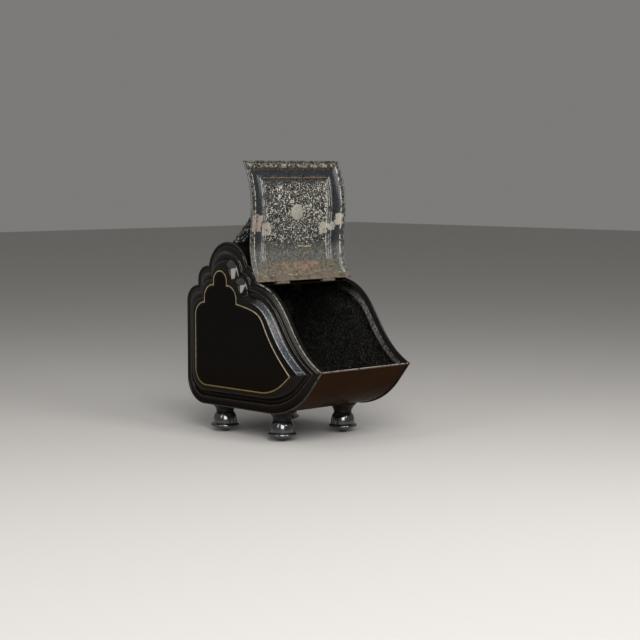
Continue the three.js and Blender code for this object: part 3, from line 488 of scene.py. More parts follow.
def side_panel(side, sign):
    bm = mesh_with("inward", "slope", "run")
    at = lambda outline, rise: [placed(sign * (HALF_RIM + rise), p) for p in outline]
    edge, outer = inset(rim, EDGE_TUCK), inset(field, -GILT_WIDTH / 2)
    # the moulding keeps its width near the rim, and takes up the rest of the way in near the gilt
    widths = [MOULDING_WIDTH / (q - p).length for p, q in zip(edge, outer)]
    narrowing = [min(MOST_WIDTH, max(LEAST_WIDTH, width)) - 1 for width in widths]
    # the mouth's stretch is the last of the outline; the rubbing fades in over its top
    first = len(rim) - MOUTH_STEPS + RUBBING_START
    slope = [min(1, max(0, (i - first) / RUBBING_FADE)) for i in range(len(rim) - 1)] + [0.0]
    # the way still to go to the lip
    run = [0.0]
    for p, q in zip(reversed(rim), reversed(rim[:-1])):
        run.insert(0, run[0] + (q - p).length)
    loop = ring(bm, at(edge, -GAP))
    for share, rise in MOULDING:
        outline = [p.lerp(q, share * (1 + more * (1 - share))) for p, q, more in zip(edge, outer, narrowing)]
        loop = drawn_out(bm, loop, at(outline, rise), inward=share, slope=slope, run=run)
    loop = drawn_out(bm, loop, at(inset(field, GILT_WIDTH / 2), PANEL_RISE), inward=GILT_MARK, slope=slope)
    for depth, sunk in SUNK_LINE:
        loop = drawn_out(bm, loop, at(inset(field, depth), PANEL_RISE - sunk), inward=FIELD_MARK)
    middle = capped(bm, loop)
    righted(bm)
    if middle.normal.x * sign < 0:
        bmesh.ops.reverse_faces(bm, faces=bm.faces)
    inward = bm.verts.layers.float["inward"]
    for face in bm.faces:
        if all(0.99 < v[inward] < (GILT_MARK + FIELD_MARK) / 2 for v in face.verts):
            face.material_index = 2
    piece = finished(f"dished_panel_{side}", bm, [japan, inside, gilt, inside], "body",
                     f"side_panel_{side}")
    thickened(piece, SHEET)


for side, sign in SIDES.items():
    side_panel(side, sign)

# ---- Rim beads and mouth ledges -------------------------------------------------------------------
# A wire rolled into the seam runs all round each panel. Along the mouth the panel's edge is turned in
# over it as a narrow ledge, where the lid has chipped the black off.

BEAD_RADIUS, BEAD_STEPS = 2, 14
# the painted highlight line leans this far from the bead's top towards the outside, in degrees
HIGHLIGHT_LEAN = 55
HINGE_SETBACK = 16
LIP_WIRE_RADIUS = 1.6
SHEET_HALF = HALF_RIM - BEAD_RADIUS - GAP
MOUTH_LENGTH = sum((q - p).length for p, q in zip(mouth_curve, mouth_curve[1:]))
MOUTH_SAMPLES = 800
LEDGE_WIDTH, LEDGE_STEPS = 7.5, 60
LEDGE_START = HINGE_SETBACK + 1.3
LEDGE_END = MOUTH_LENGTH - LIP_WIRE_RADIUS - GAP
# vertices closer than this are one, in metres
SAME_PLACE = 1e-6

mouth_line = spaced(mouth_curve, MOUTH_SAMPLES)


def mouth_at(distance):
    """Place and upward normal of the mouth's curve, at a distance from its top."""
    share = distance / MOUTH_LENGTH * MOUTH_SAMPLES
    i = min(max(int(share), 1), MOUTH_SAMPLES - 2)
    before, after = (mouth_line[i + k + 1] - mouth_line[i + k - 1] for k in (0, 1))
    along = before.lerp(after, min(max(share - i, 0), 1)).normalized()
    if share < 0 or share > MOUTH_SAMPLES:
        end = MOUTH_SAMPLES if share > MOUTH_SAMPLES else 0
        place = mouth_line[end] + along * (distance - end / MOUTH_SAMPLES * MOUTH_LENGTH)
    else:
        low = min(int(share), MOUTH_SAMPLES - 1)
        place = mouth_line[low].lerp(mouth_line[low + 1], share - low)
    return place, spot(along.y, -along.x)


def above_mouth(distance, height):
    place, up = mouth_at(distance)
    return place + up * height


def wire(points, radius):
    """A round wire through points, as a mesh."""
    line = bpy.data.curves.new("wire", "CURVE")
    line.dimensions = "3D"
    line.bevel_depth = radius * MM
    line.bevel_resolution = 3
    line.use_fill_caps = True
    spline = line.splines.new("POLY")
    spline.points.add(len(points) - 1)
    for target, p in zip(spline.points, points):
        target.co = (*(Vector(p) * MM), 1)
    holder = bpy.data.objects.new("wire", line)
    bpy.context.scene.collection.objects.link(holder)
    bm = bmesh.new()
    bm.from_mesh(holder.to_mesh())
    bpy.data.objects.remove(holder)
    bpy.data.curves.remove(line)
    return righted(bm)


def prism(outline, left, right, inner_from=None):
    """An outline pushed along X. The faces of its points from inner_from on take the inside's finish."""
    bm = bmesh.new()
    within = bm.verts.layers.int.new("within")
    verts = [bm.verts.new(placed(left, p)) for p in outline]
    for i, v in enumerate(verts):
        v[within] = int(inner_from is not None and i >= inner_from)
    made = bmesh.ops.extrude_face_region(bm, geom=[bm.faces.new(verts)])["geom"]
    far = [v for v in made if isinstance(v, bmesh.types.BMVert)]
    bmesh.ops.translate(bm, vec=((right - left) * MM, 0, 0), verts=far)
    for face in bm.faces:
        face.material_index = int(len(face.verts) == 4 and all(v[within] for v in face.verts))
    return righted(bm)


def strip(run, left, right):
    """Sheet whose outer face follows a run of points."""
    return prism(run + inset(run, SHEET, closed=False)[::-1], left, right, len(run))


def bead_with_painted_highlight():
    """The bead's black, with a thin broken painted highlight along its top, faint elsewhere, strong along the
    mouth and brightest towards the front.
    """
    new_finish("bead_with_painted_highlight", ior=1.3)
    breaks = ramp(noise(130, 5, 0.7), 0.38, 0.52)
    forwards = ramp(along_axis("Y"), 0.05, -0.03, 0.5, 1)
    # the bright line on the bead's top is a painted highlight
    worn = times(ramp(mark("outward"), 0.6, 0.95), breaks, ramp(mark("mouth"), 0, 1, 0.12, forwards))
    return dressed(tinted(worn, (0.004, 0.0037, 0.0032), (0.2, 0.185, 0.16)), ramp(worn, 0, 1, 0.22, 0.55),
                   noise(240, 4, 0.7), 0.15, 0.6)


def chipped_ledge():
    """Dull black, chipped where the lid lands on it."""
    new_finish("chipped_ledge", ior=1.18)
    chips = times(ramp(noise(420, 4, 0.7), 0.6, 0.7), 0.25)
    return dressed(tinted(chips, (0.003, 0.0028, 0.0025), (0.1, 0.095, 0.085)), 0.55, chips, 0.15, 0.8)


def wired_seam(side, sign):
    bm = mesh_with("outward", "mouth")
    first = len(rim) - MOUTH_STEPS
    mouth = [float(i > first) for i in range(len(rim) - 1)] + [0.3]
    loop = None
    for k in range(BEAD_STEPS + 1):
        turn = 2 * math.pi * k / BEAD_STEPS
        outline = inset(rim, -BEAD_RADIUS * math.cos(turn))
        places = [placed(sign * HALF_RIM + BEAD_RADIUS * math.sin(turn), p) for p in outline]
        marks = {"outward": math.cos(turn - sign * math.radians(HIGHLIGHT_LEAN)), "mouth": mouth}
        loop = drawn_out(bm, loop, places, **marks) if loop else ring(bm, places, **marks)
    bmesh.ops.remove_doubles(bm, verts=bm.verts, dist=SAME_PLACE)
    finished(f"wired_seam_{side}", righted(bm), [bead_black], "body", f"rim_bead_{side}",
             sharp=60)


bead_black, ledge_black = bead_with_painted_highlight(), chipped_ledge()
for side, sign in SIDES.items():
    wired_seam(side, sign)
    steps = [LEDGE_START + (LEDGE_END - LEDGE_START) * k / LEDGE_STEPS for k in range(LEDGE_STEPS + 1)]
    ledge = strip([mouth_at(d)[0] for d in steps], sign * (SHEET_HALF - LEDGE_WIDTH), sign * SHEET_HALF)
    finished(f"turned_in_ledge_{side}", ledge, [ledge_black, inside], "body", f"mouth_ledge_{side}")

# ---- Body sheets ----------------------------------------------------------------------------------
# One sheet makes the curved breast and the bottom, one the back, and one the lobed roof, which runs on
# as a flange under the hinges. They are seamed to the panels, japanned outside and matt black inside.

heel_start = BREAST_STEPS + 1
shoulder_end = heel_start + HEEL_STEPS + 1 + SHOULDER_STEPS
mouth_start = len(rim) - MOUTH_STEPS - 1
FLANGE_STEPS, LIP_STEPS = 6, 80
FLANGE_END = HINGE_SETBACK + 1


def sheet_japan():
    """Black japan on the wrapped sheets, brown low down where a reflection of a brown floor is painted in."""
    shader = new_finish("sheet_japan", ior=1.2)
    feed(shader.inputs["Specular Tint"], (0.72, 0.4, 0.2))
    feed(shader.inputs["Specular IOR Level"], 0.05)
    # brown in patches low down: a painted reflection of a brown floor
    reflected_brown = times(ramp(noise(14, 4, 0.6), 0.25, 0.6, 0.6, 1), ramp(along_axis("Z"), 0.22, 0.13))
    chips = ramp(noise(260, 5, 0.8), 0.72, 0.76)
    colour = layered((0.005, 0.0033, 0.0022), (reflected_brown, (0.023, 0.0085, 0.002)),
                     (times(chips, 0.4), (0.07, 0.06, 0.05)))
    return dressed(colour, ramp(noise(30, 5), 0.3, 0.7, 0.2, 0.34), noise(35, 3), 0.3, 0.4)


def lip_black():
    """The rolled lip, where coal has worn the black away along its top."""
    new_finish("rubbed_lip")
    top = ramp(along_axis("Z"), (LIP_HEIGHT + 0.2) * MM, (LIP_HEIGHT + 0.8) * MM)
    bare = times(ramp(noise(120, 5, 0.7, (1, 0.3, 0.3)), 0.34, 0.52), top)
    return dressed(tinted(bare, (0.012, 0.008, 0.005), (0.3, 0.25, 0.2)), ramp(bare, 0, 1, 0.3, 0.55),
                   bare, 0.12, 0.7)


sheet_black = sheet_japan()
flange = [mouth_at(FLANGE_END * k / FLANGE_STEPS)[0] for k in range(1, FLANGE_STEPS + 1)]
wrapped = {
    "breast_and_bottom": [LIP] + rim[:heel_start + 1],
    "back": rim[heel_start:shoulder_end + 1],
    "roof": rim[shoulder_end:mouth_start + 1] + flange,
}
for name, run in wrapped.items():
    finished(f"wrapped_{name}", strip(run, -SHEET_HALF, SHEET_HALF), [sheet_black, inside], "body",
             f"{name}_sheet", sharp=28)
lip_line = [(SHEET_HALF * (2 * k / LIP_STEPS - 1), LIP.x, LIP.y) for k in range(LIP_STEPS + 1)]
finished("rolled_lip", wire(lip_line, LIP_WIRE_RADIUS), [lip_black()], "body", "lip_wire")

# ---- Feet -----------------------------------------------------------------------------------------
# Four cast bells with a wide flange and a small toe, each under a flared collar of matt black iron, and
# held by a bolt whose head is inside the body.

FOOT_SPACING_X, FOOT_SPACING_Y, FOOT_SETBACK = 150, 157.2, 136.1
BOLT_TOP = BODY_BOTTOM + SHEET + GAP

# [radius, height] from the axis out and back, turned about the foot's axis
BELL = [
    (0, 0), (6.2, 0), (7.5, 0.6), (8.4, 2.4), (9.8, 3.9), (12.5, 5.2), (16, 6.6), (19.5, 8.2),
    (22.2, 9.6), (24.4, 10.3), (25.9, 11.2), (26.3, 12.5), (25.9, 13.8), (24.7, 14.9), (23.2, 15.4),
    (22.2, 16.2), (22, 18), (21.9, 21), (21.4, 25), (20.4, 29), (18.9, 32.5), (17, 35), (15.6, 36.2),
    (14.8, 36.7), (0, 36.7)]
COLLAR = [
    (0, 37), (15.6, 37), (16.4, 37.4), (16.6, 38.3), (16.2, 39.2), (16.3, 40.2), (17.3, 42.6), (18.9, 45.4),
    (21, 48.3), (23.4, 50.8), (25, 52.4), (25.6, 53.3), (25.6, 53.9), (0, 53.9)]
BOLT = [(0, 21), (3, 21), (3, BOLT_TOP), (6.5, BOLT_TOP), (6.5, BOLT_TOP + 1.6), (5.6, BOLT_TOP + 2.8),
        (3.4, BOLT_TOP + 3.2), (0, BOLT_TOP + 3.2)]


def turned(profile, steps=64):
    """A profile of [radius, height] pairs spun about Z."""
    bm = bmesh.new()
    verts = [bm.verts.new((r * MM, 0, h * MM)) for r, h in profile]
    edges = [bm.edges.new(pair) for pair in zip(verts, verts[1:])]
    bmesh.ops.spin(bm, geom=verts + edges, cent=(0, 0, 0), axis=(0, 0, 1), angle=2 * math.pi, steps=steps,
                   use_merge=True)
    bmesh.ops.remove_doubles(bm, verts=bm.verts, dist=SAME_PLACE)
    return righted(bm)


def moved(bm, x, p):
    bmesh.ops.translate(bm, vec=placed(x, p), verts=bm.verts)
    return bm


def cast_gloss():
    """Cast iron under worn gloss black, which shows grey metal through and keeps wet-looking highlights."""
    new_finish("gloss_cast_iron", ior=2)
    scuffs = ramp(noise(200, 6, 0.75), 0.5, 0.7)
    return dressed(tinted(scuffs, (0.006, 0.0065, 0.007), (0.06, 0.06, 0.06)),
                   ramp(noise(120, 5), 0.3, 0.7, 0.1, 0.22), noise(90, 5, 0.65), 0.22, 0.4)


def cast_matt():
    """Cast iron under matt black, with grey-brown dust in its grain."""
    new_finish("matt_cast_iron", ior=1.3)
    grain = ramp(noise(500, 5, 0.8), 0.56, 0.74)
    return dressed(tinted(grain, (0.006, 0.0042, 0.0032), (0.05, 0.04, 0.03)), ramp(grain, 0, 1, 0.36, 0.7),
                   noise(260, 6, 0.7), 0.5, 0.6)


def rusted():
    """Bare iron fittings, grey-brown, with orange rust in blots and dull metal where they rub."""
    new_finish("rusty_fitting", metallic=0.1)
    blots = ramp(noise(120, 6, 0.75), 0.5, 0.66)
    bright = ramp(noise(420, 4, 0.7), 0.58, 0.68)
    colour = layered((0.1, 0.08, 0.058), (blots, (0.17, 0.09, 0.05)),
                     (times(bright, 0.6), (0.23, 0.2, 0.155)))
    return dressed(colour, 0.7, noise(380, 6, 0.75), 0.4, 0.8)


matt_iron, rust = cast_matt(), rusted()
foot_kinds = {
    "foot": (BELL, cast_gloss(), "black_cast_iron"),
    "foot_collar": (COLLAR, matt_iron, "matt_cast_iron"),
    "foot_bolt": (BOLT, rust, "rusty_iron"),
}
for end, setback in {"front": FOOT_SETBACK, "rear": FOOT_SETBACK + FOOT_SPACING_Y}.items():
    for side, sign in SIDES.items():
        for kind, (profile, made, slot) in foot_kinds.items():
            shape = moved(turned(profile), sign * FOOT_SPACING_X / 2, spot(LIP.x + setback, 0))
            finished(f"turned_{kind}_{end}_{side}", shape, [made], "body", f"{kind}_{end}_{side}")

# ---- Carrying handle ------------------------------------------------------------------------------
# One iron casting across the crest: a plain grip in the middle, and ends dressed with overlapping
# acanthus leaves that grow out of two pads, each held by a screw from inside the roof.

CREST_TOP = CREST_HEIGHT + CREST_RADIUS
HANDLE_HALF_SPAN, HANDLE_RISE, GRIP = 84, 49, 6.5
BRACKET_REACH, BRACKET_HEIGHT, BRACKET_HALF_DEPTH, BRACKET_ROUND = 31, 27, 6, 3.2
PAD_LENGTH, PAD_WIDTH, PAD_HEIGHT = 10.4, 8.8, 5.5
# the gusset under the leaves is this much smaller than the dressed end
GUSSET_SHARE = 0.84
# the dressed end's outline: [share of the reach outwards from the pad, share of the height above the crest]
BRACKET = [(-1, -0.05), (0.2, -0.05), (0.2, 0.06), (0.05, 0.3), (-0.3, 0.64), (-0.6, 0.97), (-0.8, 0.99),
           (-0.94, 0.7), (-0.88, 0.35)]
# the bow's middle line, from the pad up to the grip: [share of the half span, share of the rise]
BOW = [(1, 0.1), (0.93, 0.18), (0.86, 0.28), (0.72, 0.52), (0.55, 0.8), (0.3, 0.96)]
BOW_STEPS, BOW_SIDES = 96, 20
BACKWARDS = Vector((0, 1, 0))


def bow_line():
    """The bow's middle line, from the left pad over the grip to the right one, as a smooth run."""
    half = [spot(-out * HANDLE_HALF_SPAN, CREST_TOP + HANDLE_RISE * up) for out, up in BOW]
    knots = half + [spot(0, CREST_TOP + HANDLE_RISE)] + [spot(-p.x, p.y) for p in reversed(half)]
    run = []
    for i in range(len(knots) - 1):
        p0, p1, p2, p3 = (knots[min(max(i + k, 0), len(knots) - 1)] for k in (-1, 0, 1, 2))
        for s in (j / 12 for j in range(12)):
            run.append(0.5 * ((2 * p1) + (p2 - p0) * s + (2 * p0 - 5 * p1 + 4 * p2 - p3) * s * s
                              + (3 * p1 - p0 - 3 * p2 + p3) * s**3))
    return spaced(run + [knots[-1]], BOW_STEPS)


def over_crest(p):
    """A point of the handle's own outline, which is drawn across the crest in the (x, z) plane."""
    return Vector((p.x, CREST.x, p.y))


def leant(upright, turn):
    """A direction leant towards the back by an angle in degrees."""
    return upright * math.cos(math.radians(turn)) + BACKWARDS * math.sin(math.radians(turn))


def taken_in(bm, shape):
    """Adds a shape to another and frees it."""
    mesh = bpy.data.meshes.new("part")
    shape.to_mesh(mesh)
    shape.free()
    bm.from_mesh(mesh)
    bpy.data.meshes.remove(mesh)


def leaf_on(bm, foot, along, out, length, width, lift):
    """One acanthus leaf: a pointed, ribbed blade that hugs the bow at its foot and curls out at its tip."""
    side = along.cross(out)
    leaf = bmesh.new()
    bmesh.ops.create_uvsphere(leaf, u_segments=14, v_segments=10, radius=1)
    for v in leaf.verts:
        u, w, t = v.co.x, v.co.y, (v.co.z + 1) / 2
        taper = math.sin(math.pi * min(1, 0.12 + t * 0.88)) ** 0.6
        lobes = 1 + 0.16 * math.sin(t * 9 * math.pi) * abs(u)
        rib = 0.3 * math.exp(-(u / 0.22)**2)
        v.co = (foot + along * length * t + side * u * width * taper * lobes
                + out * (w * 1.2 * (1 + rib) + lift * t**2.2 + 0.8 * (1 - abs(u)) + rib)) * MM
    taken_in(bm, leaf)


def pillow(bm, outline):
    """A plate over the crest, of an outline in (x, z), pillowed to its front and back."""
    loop = None
    for turn in (math.radians(-90 + 22.5 * k) for k in range(9)):
        drawn = inset(outline, BRACKET_ROUND * (1 - math.cos(turn)))
        places = [(over_crest(p) + BACKWARDS * BRACKET_HALF_DEPTH * math.sin(turn)) * MM for p in drawn]
        if loop:
            loop = drawn_out(bm, loop, places)
        else:
            loop = ring(bm, places)
            capped(bm, loop)
    capped(bm, loop)


def leafy_bracket(bm, sign):
    """The solid end of the handle: a pillowed gusset on its pad, covered in leaves that curl up and out."""
    place = lambda u, v: spot(sign * (HANDLE_HALF_SPAN + BRACKET_REACH * u), CREST_TOP + BRACKET_HEIGHT * v)
    outline = [place((u + 1) * GUSSET_SHARE - 1, v * GUSSET_SHARE) for u, v in BRACKET]
    pillow(bm, outline if sign < 0 else outline[::-1])
    # the leaves climb the outline's outer slope, from the pad's far side to the bow
    run = spaced([place(u, v) for u, v in BRACKET[2:7]], 10)
    for k, p in enumerate(run[:-1]):
        step = (run[k + 1] - p).normalized()
        along = Vector((step.x, 0, step.y))
        outwards = Vector((step.y, 0, -step.x)) * sign
        if outwards.x * sign < 0:
            outwards = -outwards
        for turn in (-80, -40, 0, 40, 80) if k % 2 else (-60, -20, 20, 60):
            out = leant(outwards, turn)
            leaf_on(bm, over_crest(p) - outwards * 5.5 + out * 3.2, along, out, 11.5 - 0.3 * k, 3.6, 4)
        # a second row of leaves lies on each face of the gusset
        for face in (-BACKWARDS, BACKWARDS):
            foot = over_crest(p) + face * (BRACKET_HALF_DEPTH - 2.2) - outwards * 9
            leaf_on(bm, foot, (along - outwards * 0.35 * (k % 2)).normalized(), face, 10.5, 3.4, 3)


def leafy_bow(bm, line, sign):
    """Six ranks of leaves round one end of the bow."""
    for k in range(6):
        i = 3 + k * 5 if sign < 0 else BOW_STEPS - 3 - k * 5
        along = over_crest(line[i - sign]) - over_crest(line[i])
        along.normalize()
        upright = Vector((along.z, 0, -along.x)) * sign
        for turn in (-75, -25, 25, 75) if k % 2 else (-100, -50, 0, 50, 100):
            out = leant(upright, turn)
            leaf_on(bm, over_crest(line[i]) + out * GRIP * 0.72, along, out, 15 - k * 0.6, 4.3, 2.6)


def scalloped_pad(bm, sign):
    for v in bmesh.ops.create_uvsphere(bm, u_segments=32, v_segments=12, radius=1)["verts"]:
        turn = math.atan2(v.co.y, v.co.x)
        scallop = 1 + 0.09 * math.cos(9 * turn) * min(1, math.hypot(v.co.x, v.co.y))
        v.co = Vector((sign * HANDLE_HALF_SPAN + v.co.x * PAD_LENGTH * scallop,
                       CREST.x + v.co.y * PAD_WIDTH * scallop,
                       CREST_TOP + 0.6 + max(v.co.z, -0.25) * PAD_HEIGHT)) * MM


def cast_leafy():
    """The handle's casting: crisp little leaves whose tips are rubbed grey."""
    new_finish("leafy_cast_iron", ior=1.6)
    rubbed = ramp(noise(330, 4, 0.7), 0.6, 0.68)
    return dressed(tinted(rubbed, (0.006, 0.006, 0.0055), (0.09, 0.087, 0.078)), 0.3,
                   noise(300, 4, 0.7), 0.5, 0.9)


def handle():
    line = bow_line()
    bm = bmesh.new()
    rows = []
    for i, p in enumerate(line):
        along = (line[min(i + 1, BOW_STEPS)] - line[max(i - 1, 0)]).normalized()
        normal = Vector((-along.y, 0, along.x))
        share = abs(i / BOW_STEPS - 0.5) * 2
        # the grip is plain with a slight belly; the ends thin down into the pads
        wide = GRIP * (1.12 + 0.1 * math.cos(share * math.pi) - 0.3 * max(0, share - 0.62))
        deep = GRIP * (0.86 + 0.05 * math.cos(share * math.pi))
        rows.append([(over_crest(p) + BACKWARDS * wide * math.cos(a) + normal * deep * math.sin(a)) * MM
                     for a in (2 * math.pi * k / BOW_SIDES for k in range(BOW_SIDES))])
    loop = ring(bm, rows[0])
    capped(bm, loop)
    for row in rows[1:]:
        loop = drawn_out(bm, loop, row)
    capped(bm, loop)
    for sign in (-1, 1):
        leafy_bow(bm, line, sign)
        leafy_bracket(bm, sign)
        scalloped_pad(bm, sign)
    finished("leafy_handle", righted(bm), [cast_leafy()], "body", "carrying_handle",
             sharp=50)


handle()
seat = CREST_TOP - SHEET * 1.5 - GAP
SCREW = [(0, seat - 2.6), (4, seat - 2.6), (4.8, seat - 1.2), (5, seat), (2.4, seat), (2.4, seat + 11),
         (0, seat + 11)]
for side, sign in SIDES.items():
    screw = moved(turned(SCREW, 24), sign * HANDLE_HALF_SPAN, spot(CREST.x, 0))
    finished(f"turned_handle_screw_{side}", screw, [rust], "body", f"handle_screw_{side}")

# ---- Lid ------------------------------------------------------------------------------------------
# One sheet pressed to the mouth's curve: a flat edge strip, a cove and three reeds round a panel, and a
# plain band along the hinges. Its inside is rubbed and spotted through to grey metal and rust.

LID_SWING = 142
HINGE_RISE = 2.6
PIN = above_mouth(HINGE_SETBACK, HINGE_RISE)
LID_HALF = HALF_RIM + 4.2
LID_END = MOUTH_LENGTH + 6.5 - HINGE_SETBACK
LID_REAR = 3.6
LID_UNDER = BEAD_RADIUS + GAP
LID_SHEET, LID_WIRE_RADIUS = 1, 1.7
PANEL_INSET, LID_PANEL_RISE = 37.4, 6.6
PANEL_COLUMNS, PANEL_ROWS, WIRE_STEPS = 9, 24, 48

# [distance in from the side or the free edge, height above the edge strip]
BORDER = [
    (0, 0), (3, 0), (6.6, 0), (7.6, 0.15), (8.4, 0.7), (9.4, 1.9), (11, 3), (13, 3.9), (15.5, 4.6), (18, 4.9),
    (20.5, 4.8), (22.6, 4.3), (23.8, 3.6), (24.6, 3.1), (25.5, 3), (26.4, 3.4), (27.2, 4.6), (28, 4.9),
    (28.8, 4.2), (29.7, 3.9), (30.6, 4.2), (31.4, 5.4), (32.2, 5.7), (33, 5.1), (33.9, 4.8), (34.8, 5.2),
    (35.8, 6.2), (PANEL_INSET, LID_PANEL_RISE)]
# [distance from the pins, height], over the full width
REAR_BAND = [
    (13.2, 0), (14, 0.4), (15.6, 1), (17, 2.4), (18.4, 3), (36, 3), (38.5, 3), (39.6, 3.6), (41, 5.8),
    (42, LID_PANEL_RISE)]
# what the lid's vertices carry: millimetres from the side, the free edge and the pins, and the share across
LID_MARKS = ("from_side", "from_end", "from_pins", "across")
# the bare patches inside: [share across from, to, millimetres from the pins, to, how bare]
BARE_PATCHES = [
    (-1, -0.8, 95, 121, 1), (-0.74, -0.58, 89, 107, 1), (0.54, 0.66, 89, 107, 1), (0.86, 0.96, 105, 121, 1),
    (0.69, 0.83, 96, 104, 1), (0.26, 0.58, 110, 122, 0.75)]


def level(table, distance):
    """The height that a table of [distance, height] gives at a distance."""
    if distance <= table[0][0]:
        return table[0][1]
    for (d0, r0), (d1, r1) in zip(table, table[1:]):
        if distance <= d1:
            return r0 + (r1 - r0) * (distance - d0) / (d1 - d0)
    return table[-1][1]


def swung_open(bm):
    bmesh.ops.rotate(bm, cent=placed(0, PIN), verts=bm.verts,
                     matrix=Matrix.Rotation(math.radians(-LID_SWING), 3, "X"))
    return bm


def lid_inside():
    """Japan spotted through to grey metal all over the panel, dusty, and rusty at the hinges."""
    new_finish("rubbed_lid_inside", ior=1.35)
    side, end, row, across = (mark(name) for name in LID_MARKS)
    edge = folding("MINIMUM")(side, end)
    # the corner's mitre parts the side borders from the border of the free edge
    by_side, by_end = ramp(less(end, side), -0.5, 0.5), ramp(less(side, end), -0.5, 0.5)
    in_panel, in_rear = ramp(edge, 34, 38), ramp(row, 44, 38)
    in_band = times(band(row, 17, 40, 1.2), ramp(side, 12, 20))

    # the ground: black under a film of dust, with a dark bluish painted shade in the cove, olive towards the
    # hinges
    film = ramp(noise(300, 5, 0.8), 0.45, 0.66)
    cove_shade = times(band(edge, 9, 24, 1.5), ramp(row, 40, 46))
    scratches = most(ramp(noise(230, 5, 0.8, (1.8, 1, 0.6)), 0.55, 0.59),
                     ramp(noise(260, 5, 0.8, (0.6, 1, 1.8)), 0.56, 0.6))
    dusty = times(ramp(row, 76, 56), ramp(scratches, 0, 1, 0.25, 1))

    # fine worm-like spots, crowded round the plate and at the waist, sparse to the top left and at the hinges
    fade = times(ramp(row, 50, 88), ramp(noise(26, 3, 0.5), 0.3, 0.7, 0.72, 1.15),
                 ramp(less(times(row, 0.004), across), 0.9, 1.3, 1, 0.72))
    drifts = ramp(noise(60, 3, 0.6), 0.35, 0.65, 0.03, -0.02)
    cover = plus(ramp(fade, 0, 1.1, 0.69, 0.53), drifts)
    spots = times(ramp(less(noise(360, 2, 0.6), cover), 0, 0.02), in_panel)
    spotted = tinted(ramp(noise(150, 4, 0.7), 0.4, 0.62), (0.28, 0.27, 0.23), (0.52, 0.49, 0.41))

    # larger bare patches at the waist, and one bowed scar
    patches = [times(band(across, left, right, 0.14), band(row, low, high, 13), share)
               for left, right, low, high, share in BARE_PATCHES]
    bare = ramp(plus(most(*patches), times(noise(120, 5, 0.75), 1.5)), 1.6, 1.65)
    pinkish = tinted(ramp(across, -0.7, -0.6), (0.25, 0.205, 0.16), (0.31, 0.29, 0.235))
    bend = less(across, 0.2)
    bowed = plus(row, times(bend, bend, -90))
    scar = times(band(across, 0.06, 0.32, 0.04), band(bowed, 64.6, 65.4, 0.9),
                 ramp(noise(220, 4, 0.7), 0.4, 0.5))

    # the edge strips and the reeds of the pressing are rubbed to metal, and the rounded edge between each
    # side strip and the cove carries a broken painted highlight
    strips = times(band(edge, 0.5, 7.4, 0.7), ramp(noise(190, 5, 0.75), 0.53, 0.57))
    free = times(band(end, 3, 9, 1.2), ramp(noise(150, 5, 0.75), 0.5, 0.55), by_end)
    reeds = most(band(side, 27.4, 28.4, 0.35), band(side, 31.6, 32.5, 0.35), band(side, 36.6, 37.6, 0.3))
    rubbed = times(reeds, ramp(noise(60, 5, 0.7), 0.42, 0.52), ramp(row, 40, 48), by_side)
    # a broken painted highlight along the rounded edge between the side strip and the cove
    line = times(band(side, 6.2, 7.8, 0.4), ramp(noise(105, 5, 0.75), 0.48, 0.53), by_side)
    brown_line = times(band(end, 27.2, 28.6, 0.5), ramp(noise(110, 5, 0.7), 0.38, 0.56), by_end)
    fringe = times(band(end, 9.5, 13, 1.5), ramp(noise(300, 4, 0.7), 0.46, 0.54), by_end)

    # the band along the hinges: grey-brown, orange in its middle, with one bright rubbed line by the hinges
    blotches = times(ramp(noise(75, 5, 0.75), 0.47, 0.61), band(across, -0.3, 0.25, 0.25),
                     band(row, 22, 37, 5))
    grime = ramp(noise(210, 5, 0.8), 0.4, 0.62)
    banded = layered((0.045, 0.037, 0.027), (grime, (0.17, 0.145, 0.108)), (blotches, (0.26, 0.14, 0.075)))
    hem = times(band(row, 4, 14.5, 0.8), ramp(noise(130, 4, 0.7, (0.5, 1, 1)), 0.4, 0.52))
    shine = times(band(row, 14.8, 16.6, 0.6), ramp(noise(60, 5, 0.7), 0.5, 0.56))

    colour = layered(
        (0.009, 0.0089, 0.0082),
        (film, (0.105, 0.103, 0.093)),
        (times(cove_shade, ramp(film, 0, 1, 0.97, 0.6)), (0.0135, 0.016, 0.02)),
        (times(dusty, 0.8), (0.19, 0.185, 0.162)),
        (times(spots, 0.92), spotted),
        (times(bare, 0.85), pinkish),
        (scar, (0.46, 0.33, 0.15)),
        (times(strips, 0.5), (0.24, 0.225, 0.19)),
        (times(free, 0.8), (0.33, 0.29, 0.225)),
        (times(rubbed, 0.85), (0.4, 0.4, 0.38)),
        (times(line, 0.9), (0.46, 0.44, 0.39)),
        (times(brown_line, 0.8), (0.2, 0.14, 0.075)),
        (times(fringe, 0.7), (0.075, 0.05, 0.03)),
        (times(in_band, 0.92), banded),
        (times(in_rear, ramp(row, 17, 14), 0.9), (0.05, 0.04, 0.029)),
        (times(hem, 0.55), (0.2, 0.165, 0.115)),
        (times(shine, 0.85), (0.36, 0.31, 0.22)))
    dull = most(spots, bare, in_band, times(film, 0.4), dusty)
    pits = plus(times(most(spots, bare), -1), noise(600, 3), times(grime, in_band))
    return dressed(colour, ramp(dull, 0, 1, 0.24, 0.65), pits, 0.12, 0.7)


def lid_outside():
    """Plain japan, lightly worn."""
    new_finish("worn_lid_outside", ior=1.42)
    worn = ramp(noise(180, 6, 0.75), 0.62, 0.7)
    return dressed(tinted(worn, (0.006, 0.0055, 0.005), (0.07, 0.066, 0.06)),
                   ramp(noise(40, 5), 0.3, 0.7, 0.16, 0.4), noise(60, 4), 0.25, 0.4)


def lid_edge():
    """The rolled edge's black, rubbed to dull metal."""
    new_finish("rubbed_lid_edge")
    bare = ramp(noise(150, 5, 0.75), 0.44, 0.6)
    return dressed(tinted(bare, (0.016, 0.017, 0.018), (0.13, 0.125, 0.11)), ramp(bare, 0, 1, 0.3, 0.6), bare,
                   0.12, 0.7)


def lid_rise(x, row):
    """Height of the pressing above the edge strip."""
    return min(level(BORDER, min(LID_HALF - abs(x), LID_END - row)), level(REAR_BAND, row))


